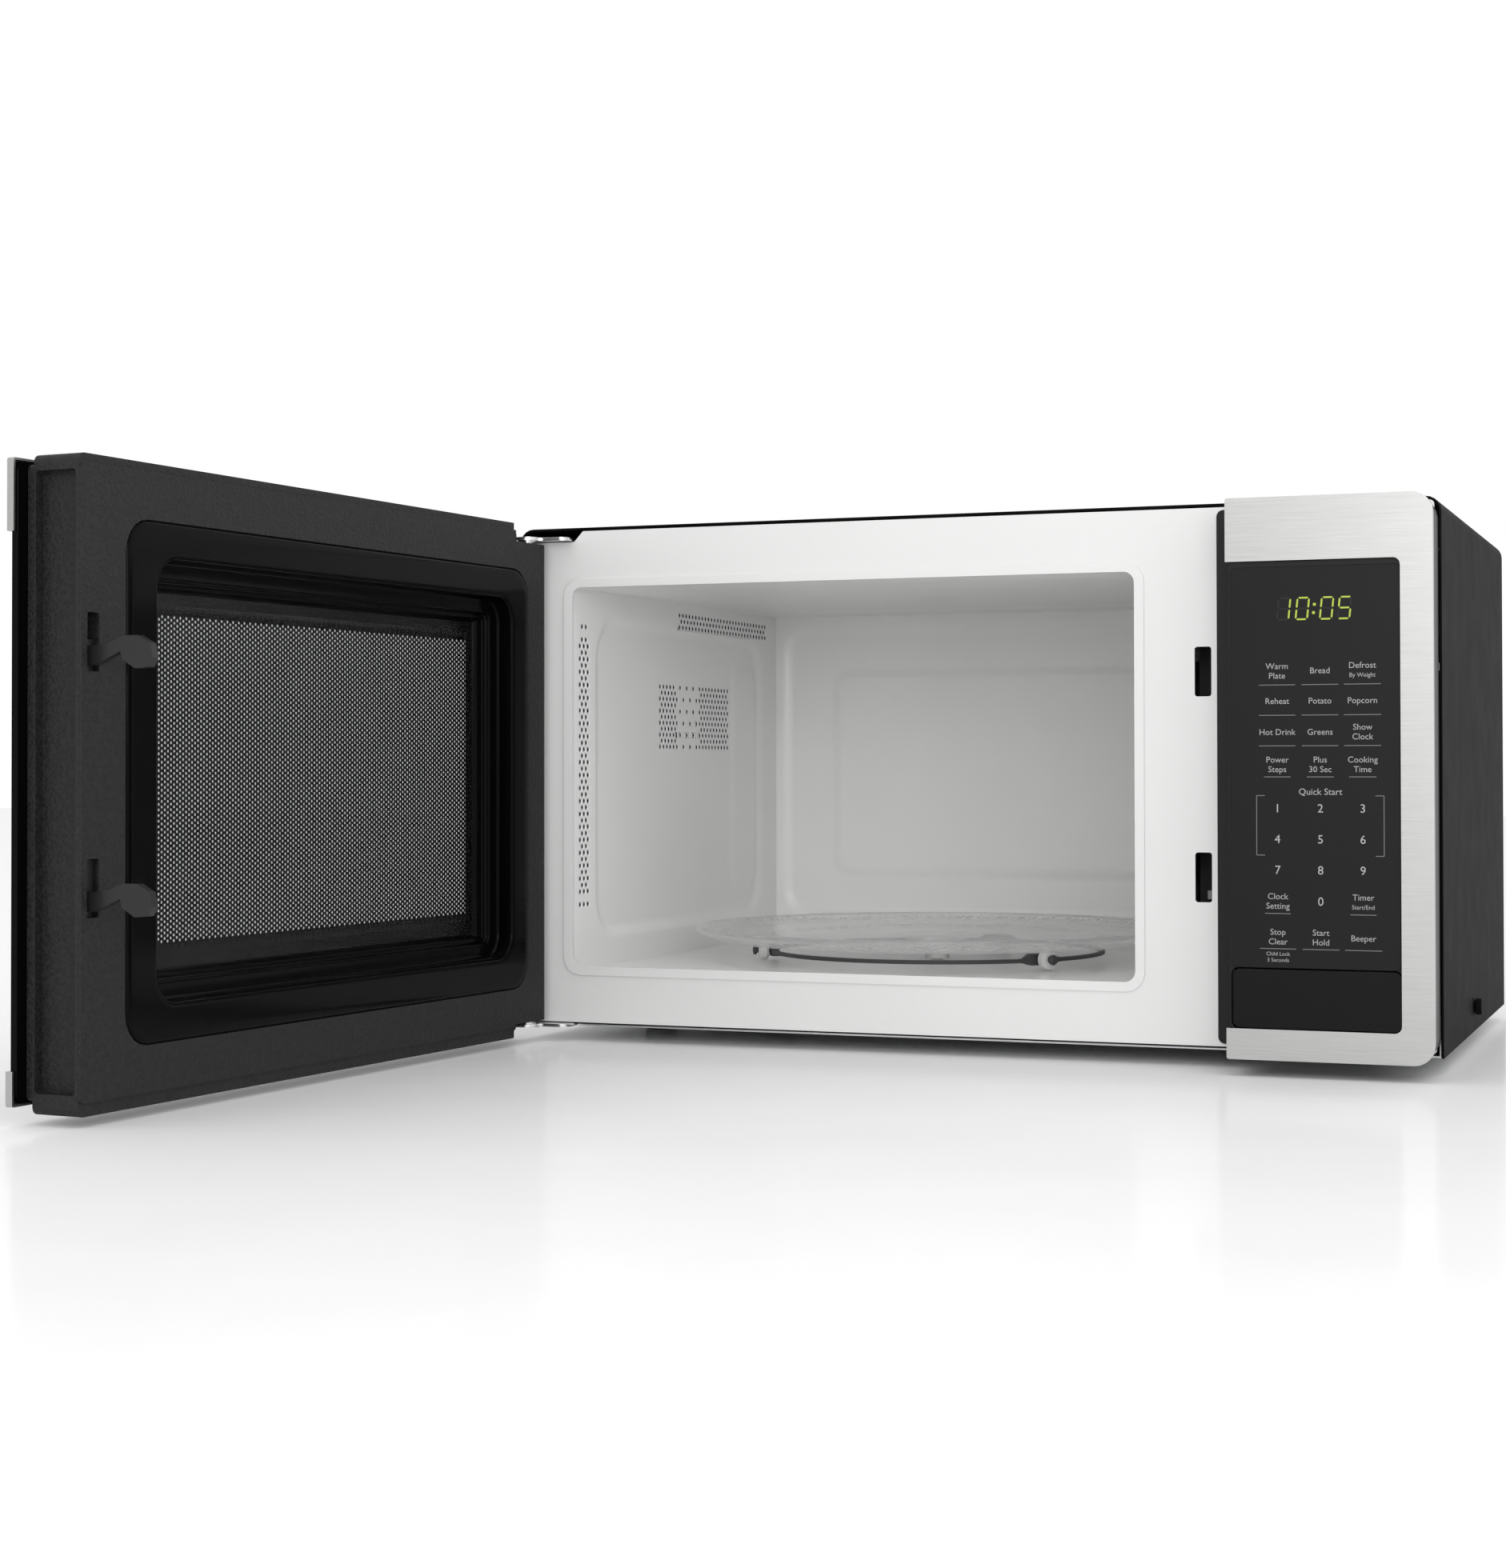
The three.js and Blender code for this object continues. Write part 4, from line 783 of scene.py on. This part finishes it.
top = shell_high.z / MM
outline = rounded_loop(0.05, width - 0.05, -60, top - 0.05, 7)
upper = [p for p in outline[18:] if p[1] > 0]
hem_path = [(width - 0.05, 0.5), *upper, (0.05, 0.5)]
hem_section = arc(0.65, 0.75, 0.65, 360, 0, 12)[:-1]
piece("wrapper_hem", *swept_path(hem_path, hem_section, at), gloss_black, "cabinet", "black_paint")
print("hem runs through", len(hem_path), "points")

# %% [markdown]
# The door's inner side. A polished black choke cover rings the window: a rounded outer edge, a
# flat field, then three steps down to the screen with a bright round edge on each.

# %% The choke cover
choke = {
    "x0": cavity_left - 6.4,
    "x1": opening["x1"] + 13.4,
    "z0": opening["z0"] - 8.8,
    "z1": cavity_ceiling + 7,
}
window = {
    "x0": choke["x0"] + 14.6,
    "x1": choke["x1"] - 19,
    "z0": choke["z0"] + 15.3,
    "z1": choke["z1"] - 14.5,
}
SCREEN_Y = -17.5
DOOR_FACE = -1.4


def blended_loop(out, y, share, corner):
    """A loop between the window's rectangle (share 0) and the choke cover's (share 1)."""
    sides = {key: window[key] * (1 - share) + choke[key] * share for key in window}
    loop = rounded_loop(
        sides["x0"] - out, sides["x1"] + out, sides["z0"] - out, sides["z1"] + out,
        max(corner + out, 0.5), 10,
    )
    return [on_door(x, y, z) for x, z in loop]


choke_profile = [
    (0.0, DOOR_FACE - 1.8, 1, 13),
    (0.0, DOOR_FACE - 0.9, 1, 13),
    *((out - 1.2, y, 1, 13) for out, y in arc(0, DOOR_FACE - 0.9, 1.2, 0, 90, 5)),
    (-4.0, DOOR_FACE + 0.3, 1, 13),
    (3.0, DOOR_FACE + 0.3, 0, 12),
    *((out + 1.6, y, 0, 12) for out, y in arc(0, DOOR_FACE - 1.3, 1.6, 90, 180, 6)),
    (-0.2, -8.2, 0, 12),
    *((out - 1.8, y, 0, 12) for out, y in arc(0, -8.2, 1.6, 0, -90, 4)),
    (-6.0, -9.8, 0, 11),
    *((out - 6.6, y, 0, 11) for out, y in arc(0, -10.8, 1.0, 90, 180, 5)),
    (-8.0, -12.4, 0, 10),
    *((out - 9.4, y, 0, 10) for out, y in arc(0, -13.0, 0.9, 90, 180, 5)),
    (-10.6, -16.2, 0, 8),
    (-11.6, SCREEN_Y + 0.12, 0, 7),
]
ring_loops = [blended_loop(*step) for step in choke_profile]
choke_ring = piece("choke_ring", *skin(ring_loops), gloss_black, "door", "gloss_black", ["choke_cover"])
print("choke cover steps:", len(choke_profile), "faces:", len(choke_ring.data.polygons))

# %% [markdown]
# The screen keeps the microwaves in and lets the light out. It is enamelled steel with several
# thousand holes in upright columns, every second column half a step lower, so that each hole has
# six neighbours at the same distance. The cells of the cavity's vents make it, turned on their side.
# Just above and below the holes is a row of small domes, and round them the steel is plain.

# %% The screen
HOLE_STEP, HOLE_RADIUS = 2.26, 0.68
COLUMN_STEP = HOLE_STEP * math.sqrt(3) / 2
screen_area = {"x0": 53.0, "x1": 291.5, "z0": 57.5, "z1": 191.3}
hole_columns = round((screen_area["x1"] - screen_area["x0"]) / COLUMN_STEP)
hole_rows = round((screen_area["z1"] - screen_area["z0"]) / HOLE_STEP)
hole_field = (
    screen_area["x0"], screen_area["x0"] + hole_columns * COLUMN_STEP,
    screen_area["z0"], screen_area["z0"] + hole_rows * HOLE_STEP,
)
screen_cells = vent_cells(
    hole_field[2], hole_field[0], hole_rows, hole_columns, HOLE_STEP, COLUMN_STEP, HOLE_RADIUS, -0.2, 0,
    lambda row, column: True, sides=6,
)


def domes(x, z):
    """A row of small domes just outside the holes, above and below."""
    if not hole_field[0] < x < hole_field[1]:
        return 0.0
    near = min(abs(z - (hole_field[2] - 1.9)), abs(z - (hole_field[3] + 1.9)))
    along = math.remainder(x - hole_field[0] - COLUMN_STEP / 2, 2 * COLUMN_STEP)
    return 0.7 * math.sqrt(max(0.0, 1 - (near**2 + along**2) / 1.3**2))


rim = 2.4
plain_area = [(window["x0"] - rim, window["x1"] + rim), (window["z0"] - rim, window["z1"] + rim)]
field_left, field_right, field_low, field_high = hole_field
bands = [
    wall_grid(plain_area[0], (field_low - 4, field_low), 0.65, domes, []),
    wall_grid(plain_area[0], (field_high, field_high + 4), 0.65, domes, []),
    wall_grid(plain_area[0], (plain_area[1][0], field_low - 4), 6, domes, []),
    wall_grid(plain_area[0], (field_high + 4, plain_area[1][1]), 6, domes, []),
    wall_grid((plain_area[0][0], field_left), (field_low, field_high), 6, domes, []),
    wall_grid((field_right, plain_area[0][1]), (field_low, field_high), 6, domes, []),
]
screen_sheet = merge([placed(part, lambda x, z, d: on_door(x, SCREEN_Y - 0.1 + d, z)) for part in bands])
hole_sheet = placed(screen_cells, lambda z, x, d: on_door(x, SCREEN_Y - 0.1 + d, z))
tidy(
    piece(
        "door_screen_mesh", *merge([screen_sheet, hole_sheet]), screen_black, "door", "gloss_black",
        ["door_screen"],
    ), 0.01
)
print("holes in the screen:", hole_columns * hole_rows)

# %% [markdown]
# The door's pane lies behind the steel skin. It is smoked glass, printed black round its border, so
# only the part in front of the screen lets light through. The two are separate pieces of one sheet.

# %% The pane
panel_edge = (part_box("control_panel_trim")[0].x - left) / MM
pane = {"x0": 1.8, "x1": panel_edge - 3.1, "z0": 1.3, "z1": front_height - 1.3}
PANE_FRONT, PANE_BACK = -30.7, -27.7
clear_part = {key: edge + (4 if key.endswith("1") else -4) for key, edge in window.items()}
outer_front = [on_door(x, PANE_FRONT, z) for x, z in rounded_loop(*pane.values(), 4)]
inner_front = [on_door(x, PANE_FRONT, z) for x, z in rounded_loop(*clear_part.values(), 3)]
inner_back = [on_door(x, PANE_BACK, z) for x, z in rounded_loop(*clear_part.values(), 3)]
outer_back = [on_door(x, PANE_BACK, z) for x, z in rounded_loop(*pane.values(), 4)]
border = skin([outer_front, inner_front, inner_back, outer_back, outer_front])
tidy(piece("pane_border", *border, gloss_black, "door", "dark_glass", ["door_glass"], smooth=False))
front_loop = [on_door(x, PANE_FRONT + 0.05, z) for x, z in rounded_loop(*clear_part.values(), 3)]
back_loop = [on_door(x, PANE_BACK - 0.05, z) for x, z in rounded_loop(*clear_part.values(), 3)]
clear_sheet = skin([front_loop, back_loop], True)
tidy(piece("pane_window", *clear_sheet, smoked_pane, "door", "dark_glass", smooth=False))
print("pane, in millimetres:", round(pane["x1"] - pane["x0"]), "by", round(pane["z1"] - pane["z0"]))

# %% [markdown]
# The tray is pressed glass, turned in one profile: a flat centre, a shallow step, and a rim that
# curves up to a round lip. Its underside is pebbled out to the rim, so that face is a second
# material. A spun profile is the natural way to make it.

# %% The glass tray
tray_low, tray_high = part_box("glass_tray")
tray_centre = (tray_low + tray_high) / 2
tray_radius = (tray_high.x - tray_low.x) / 2 / MM
tray_base = tray_low.z / MM + 4
TURNS = 128


def spun(profile, centre, turns=TURNS):
    """Turns (radius, z) steps about an upright axis. A radius of 0 makes a pole."""
    axis = Vector((centre.x, centre.y, 0))
    angles = [2 * math.pi * i / turns for i in range(turns)]
    loops = [
        [axis + Vector((radius * math.cos(a), radius * math.sin(a), z)) * MM for a in angles]
        for radius, z in profile
    ]
    return skin(loops)


upper_profile = [
    (0.02, 3.5), (40, 3.5), (70, 3.5), (72, 3.2), (90, 3.2), (92, 3.5),
    (tray_radius - 13, 3.5), (tray_radius - 9, 4.2), (tray_radius - 5, 6.0), (tray_radius - 3, 7.0),
    (tray_radius - 1.6, 7.3), (tray_radius - 0.5, 6.8), (tray_radius, 5.6),
]
lower_profile = [
    (tray_radius, 5.6), (tray_radius - 0.6, 4.6), (tray_radius - 2.4, 3.4), (tray_radius - 6, 1.8),
    (tray_radius - 11, 0.3), (tray_radius - 14, 0), (60, 0), (22, 0), (20.5, -0.6), (19.5, -3.6),
    (18.5, -4), (17, -4), (16.6, -3.4), (16.5, 0), (0.02, 0),
]
upper_glass = spun([(r, tray_base + z) for r, z in upper_profile], tray_centre)
lower_glass = spun([(r, tray_base + z) for r, z in lower_profile], tray_centre)
tray_parts = merge([upper_glass, lower_glass])
tray = piece("turntable_tray", *tray_parts, tray_glass, "tray", "clear_glass", ["glass_tray"])
tray.data.materials.append(pebbled_glass)
for polygon in tray.data.polygons[len(upper_glass[1]):]:
    polygon.material_index = 1
tidy(tray, 0.05)
print("tray diameter:", round(2 * tray_radius), "faces:", len(tray.data.polygons))

# %% [markdown]
# The roller ring is a thin upright band. It thickens into a block at each of its three axles, with
# sloping shoulders, and the axle's end is a button outside the roller. The band's height is a
# formula of the angle to the nearest axle.

# %% The roller ring
ring_joints = [joint for joint in frame["joints"] if joint["parent"] == "ring"]
axle_angles = [math.atan2(joint["axis"][1], joint["axis"][0]) for joint in ring_joints]
axle_z = ring_joints[0]["pos_m"][2] / MM
ring_centre = Vector((tray_centre.x, tray_centre.y, 0))
roller_track = (Vector(ring_joints[0]["pos_m"]) - ring_centre).xy.length / MM
ring_outer = roller_track - 3.95
band_points, band_faces = [], []
STATIONS = 240
for station in range(STATIONS):
    angle = 2 * math.pi * station / STATIONS
    away = min(abs(math.remainder(angle - a, 2 * math.pi)) for a in axle_angles)
    block = 1 - min(max((away * ring_outer - 7) / 5, 0), 1)
    low, high = -1.6 - 1.4 * block, 0.2 + 2.4 * block
    thick = 2.0 + 2.0 * block
    section = [(0, low), (0, high), (-0.8, high + 0.2), (-thick, high + 0.2), (-thick, low)]
    for out, rise in section:
        r = ring_outer + out
        spot = Vector((r * math.cos(angle), r * math.sin(angle), axle_z + rise)) * MM
        band_points.append(ring_centre + spot)
    for i in range(5):
        a, b = station * 5 + i, station * 5 + (i + 1) % 5
        c, d = (a + 5) % (STATIONS * 5), (b + 5) % (STATIONS * 5)
        band_faces.append((a, c, d, b))


def axle(angle, steps):
    """A turned axle that points outwards. Its steps are (distance from the centre, radius)."""
    outward = Vector((math.cos(angle), math.sin(angle), 0))
    across = Vector((-outward.y, outward.x, 0))
    loops = []
    for reach, radius in steps:
        centre = ring_centre + outward * reach * MM + Vector((0, 0, axle_z * MM))
        turns = [2 * math.pi * i / 20 for i in range(20)]
        rims = [across * math.cos(t) + Vector((0, 0, math.sin(t))) for t in turns]
        loops.append([centre + rim * radius * MM for rim in rims])
    return skin(loops, True)


cap = roller_track + 3.55
axle_steps = [(ring_outer - 2, 3.0), (ring_outer + 0.7, 3.0), (ring_outer + 0.7, 1.6), (cap, 1.6), (cap, 2.4)]
axle_steps += [(cap + 1.2, 2.6), (cap + 1.9, 2.1), (cap + 2.15, 0.9)]
ring_parts = merge([(band_points, band_faces), *(axle(angle, axle_steps) for angle in axle_angles)])
ring = piece(
    "turntable_ring", *ring_parts, grey_plastic, "ring", "grey_plastic", ["roller_ring"], smooth=False
)
tidy(ring)
print("ring radius:", round(ring_outer), "axles at:", [round(math.degrees(a)) for a in axle_angles])

# %% [markdown]
# The key panel is one printed film. Its print is flat ink, so each mark is a thin piece just proud
# of the film: the key names, the digits and the lines under the keys.
# Words are plain kitchen words in a plain face, made with Blender's own font.

# %% The film
film_low, film_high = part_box("keypad_membrane")
film_front = (film_low.y - face) / MM
film_x0, film_x1 = (film_low.x - left) / MM, (film_high.x - left) / MM
film_z0, film_z1 = film_low.z / MM, film_high.z / MM


def slab(area, front, back, corner, bevel=0.25):
    """A plate with round corners and a softened front edge."""
    x0, x1, z0, z1 = area
    steps = [(0, back), (0, front + bevel), (bevel * 0.3, front + bevel * 0.3), (bevel, front)]
    loops = [
        [at(x, y, z) for x, z in rounded_loop(x0 + i, x1 - i, z0 + i, z1 - i, max(corner - i, 0.05), 4)]
        for i, y in steps
    ]
    return skin(loops, True)


film_area = (film_x0, film_x1, film_z0, film_z1)
film = piece(
    "key_film", *slab(film_area, film_front, film_front + 0.7, 2), fascia_plastic, "cabinet", "charcoal",
    ["keypad_membrane"], smooth=False,
)
print("film, in millimetres:", [round(v, 1) for v in film_area])

# %% [markdown]
# Each clock digit has seven bars with pointed ends that lean a little, as on any such display. A
# bar is a six-sided slab, and a digit is the list of its lit bars.

# %% The clock
BARS = {
    "a": ((0, 1), (1, 1)), "b": ((1, 1), (1, 0.5)), "c": ((1, 0.5), (1, 0)), "d": ((0, 0), (1, 0)),
    "e": ((0, 0.5), (0, 0)), "f": ((0, 1), (0, 0.5)), "g": ((0, 0.5), (1, 0.5)),
}
LIT = {"0": "abcdef", "1": "bc", "5": "acdfg", "8": "abcdefg"}
DIGIT_W, DIGIT_H, BAR, LEAN = 5.0, 9.4, 0.75, 0.1


def clock_bar(x, z, start, end, lift):
    (ax, az), (bx, bz) = start, end
    a = Vector((x + ax * DIGIT_W, z + az * DIGIT_H))
    b = Vector((x + bx * DIGIT_W, z + bz * DIGIT_H))
    along = (b - a).normalized()
    across = Vector((-along.y, along.x)) * BAR / 2
    a, b = a + along * 0.35, b - along * 0.35
    shape = [a, a + along * BAR / 2 + across, b - along * BAR / 2 + across]
    shape += [b, b - along * BAR / 2 - across, a + along * BAR / 2 - across]
    shape = [(p.x + LEAN * (p.y - z), p.y) for p in shape]
    front = [at(px, film_front - 0.04 - lift, pz) for px, pz in shape]
    back = [at(px, film_front, pz) for px, pz in shape]
    return skin([front, back], True)


def clock_dot(x, z):
    shape = rounded_loop(x - 0.65, x + 0.65, z - 0.65, z + 0.65, 0.5, 3)
    return skin([[at(px, y, pz) for px, pz in shape] for y in (film_front - 0.09, film_front)], True)


clock_z = 193.0
digit_places = {"1": 384.1, "0": 392.2, "o": 402.7, "5": 410.4}
lit_bars, dark_bars = [], []
for mark, x in digit_places.items():
    figure = "0" if mark == "o" else mark
    for bar, ends in BARS.items():
        if bar in LIT[figure]:
            lit_bars.append(clock_bar(x, clock_z, *ends, 0.05))
        else:
            dark_bars.append(clock_bar(x, clock_z, *ends, 0.01))
lit_bars += [clock_dot(400.0, clock_z + 2.8), clock_dot(400.4, clock_z + 6.4)]
piece("clock_digits", *merge(lit_bars), clock_light, "cabinet", "charcoal", smooth=False)
piece("clock_dark_bars", *merge(dark_bars), dark_segment, "cabinet", "charcoal", smooth=False)
print("lit bars and dots:", len(lit_bars), "dark bars:", len(dark_bars))

# %% [markdown]
# The keys stand in three columns. Eleven rows of print are placed by their height, each with its
# own size of letter, and short lines mark the lower edge of the keys that have names.


# %% Key names and digits
def words(name, entries, ink, thickness=0.03):
    """Text in one mesh. An entry is (text, centre x, centre z, letter height)."""
    parts = []
    for text, x, z, height in entries:
        curve = bpy.data.curves.new("word", "FONT")
        curve.body, curve.size, curve.extrude = text, height * MM / 0.72, 0.0
        curve.align_x, curve.align_y, curve.resolution_u = "CENTER", "CENTER", 3
        holder = bpy.data.objects.new("word", curve)
        bpy.context.scene.collection.objects.link(holder)
        bpy.context.view_layer.update()
        mesh = holder.evaluated_get(bpy.context.evaluated_depsgraph_get()).to_mesh()
        spot = at(x, film_front - thickness, z)
        points = [Vector((spot.x + v.co.x, spot.y, spot.z + v.co.y)) for v in mesh.vertices]
        parts.append((points, [tuple(p.vertices) for p in mesh.polygons]))
        bpy.data.objects.remove(holder)
    return piece(name, *merge(parts), ink, "cabinet", "charcoal", smooth=False)


columns = (384.0, 402.6, 420.8)
named_rows = [
    (170.4, [("Warm", "Plate"), ("Bread",), ("Defrost", "By Weight")]),
    (157.2, [("Reheat",), ("Potato",), ("Popcorn",)]),
    (143.6, [("Hot Drink",), ("Greens",), ("Show", "Clock")]),
    (129.4, [("Power", "Steps"), ("Plus", "30 Sec"), ("Cooking", "Time")]),
    (69.6, [("Clock", "Setting"), (), ("Timer", "Start/End")]),
    (54.0, [("Stop", "Clear"), ("Start", "Hold"), ("Beeper",)]),
]
LETTER = 2.7
names = []
for z, row in named_rows:
    for x, lines in zip(columns, row):
        if len(lines) == 1:
            names.append((lines[0], x, z, LETTER))
        elif len(lines) == 2:
            small = 1.9 if len(lines[1]) > 8 else LETTER
            names += [(lines[0], x, z + 2.1, LETTER), (lines[1], x, z - 2.1, small)]
names.append(("Quick Start", columns[1], 117.5, 2.9))
names += [("Child Lock", columns[0], 46.6, 1.7), ("3 Seconds", columns[0], 43.9, 1.7)]
digits = [
    (str(3 * row + column + 1), columns[column], z, 3.8)
    for row, z in enumerate((110.2, 96.7, 83.2)) for column in range(3)
]
digits.append(("0", columns[1], 69.6, 3.8))
words("key_names", names, label_ink)
words("key_digits", digits, digit_ink)
print("words:", len(names), "digits:", len(digits))


# %% Lines under the keys
def line(x0, x1, z0, z1):
    return slab((x0, x1, z0, z1), film_front - 0.04, film_front + 0.05, 0.02, 0.01)


HAIR = 0.3
under = [(z, 7.9) for z in (164.4, 151.1, 137.7)] + [(124.1, 5.8)]
lines = [line(x - half, x + half, z - HAIR / 2, z + HAIR / 2) for z, half in under for x in columns]
lines += [line(x - 5.6, x + 5.6, 64.3 - HAIR / 2, 64.3 + HAIR / 2) for x in (columns[0], columns[2])]
lines += [line(x - 7.9, x + 7.9, 48.9 - HAIR / 2, 48.9 + HAIR / 2) for x in columns]
bracket_low, bracket_high = 89.8, 115.9
for side, x in ((1, 374.9), (-1, 429.8)):
    lines.append(line(x - HAIR / 2, x + HAIR / 2, bracket_low, bracket_high))
    for z in (bracket_low, bracket_high):
        lines.append(line(min(x, x + side * 3.6), max(x, x + side * 3.6), z - HAIR / 2, z + HAIR / 2))
piece("key_lines", *merge(lines), line_ink, "cabinet", "charcoal", smooth=False)
print("lines on the film:", len(lines))

# %% [markdown]
# The room. The oven stands on a wide pale floor in even white light. Two large soft lamps, above
# and in front, give the enamel and the steel soft reflections, and a small one lights the cavity.

# %% Floor, world and lamps
floor_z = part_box("foot_rear_left")[0].z
reach = 6.0
floor_mesh = bpy.data.meshes.new("floor")
floor_mesh.from_pydata(
    [(x * reach, y * reach, floor_z) for x, y in ((-1, -1), (1, -1), (1, 1), (-1, 1))],
    [], [(0, 1, 2, 3)],
)
floor_mesh.materials.append(enamel("pale floor", (0.9, 0.9, 0.9), 0.6))
floor_object = bpy.data.objects.new("floor", floor_mesh)
bpy.context.scene.collection.objects.link(floor_object)
world = bpy.data.worlds.new("studio")
world.use_nodes = True
world.node_tree.nodes["Background"].inputs["Color"].default_value = (1, 1, 1, 1)
world.node_tree.nodes["Background"].inputs["Strength"].default_value = 1.0
bpy.context.scene.world = world


def soft_lamp(name, place, target, size, power):
    data = bpy.data.lights.new(name, "AREA")
    data.shape, data.size, data.size_y, data.energy = "RECTANGLE", size[0], size[1], power
    lamp = bpy.data.objects.new(name, data)
    lamp.location = place
    lamp.rotation_euler = (Vector(target) - Vector(place)).to_track_quat("-Z", "Y").to_euler()
    bpy.context.scene.collection.objects.link(lamp)
    return lamp


middle = Vector((0, 0, 0.12))
soft_lamp("front_soft", (0.5, -2.2, 0.7), middle, (1.4, 1.0), 7)
soft_lamp("top_soft", (0.2, -0.8, 1.9), middle, (1.6, 1.2), 4)
soft_lamp("cavity_soft", (0.5, -1.2, 0.35), (-0.05, 0.1, 0.12), (0.5, 0.35), 1.6)
print("floor at", round(floor_z / MM, 1), "mm")

# %% [markdown]
# The camera stands in front of the oven and to its right, level with its middle, and looks to the
# left. The lens is long, and a small shift keeps the frame centred without tilting it.

# %% Camera
camera_data = bpy.data.cameras.new("camera")
camera_data.lens = 59.7
camera_data.shift_y = -0.0347
camera = bpy.data.objects.new("camera", camera_data)
yaw, pitch, roll = math.radians(21.2755), math.radians(0.826), math.radians(0.074)
camera.location = at(583.5, -1175.9, 128.7)
look = Matrix.Rotation(yaw, 4, "Z") @ Matrix.Rotation(math.pi / 2 + pitch, 4, "X")
look = look @ Matrix.Rotation(-roll, 4, "Z")
camera.rotation_euler = look.to_euler()
bpy.context.scene.collection.objects.link(camera)
bpy.context.scene.camera = camera
bpy.context.scene.view_settings.view_transform = "Standard"
print("camera at", [round(v, 3) for v in camera.location])
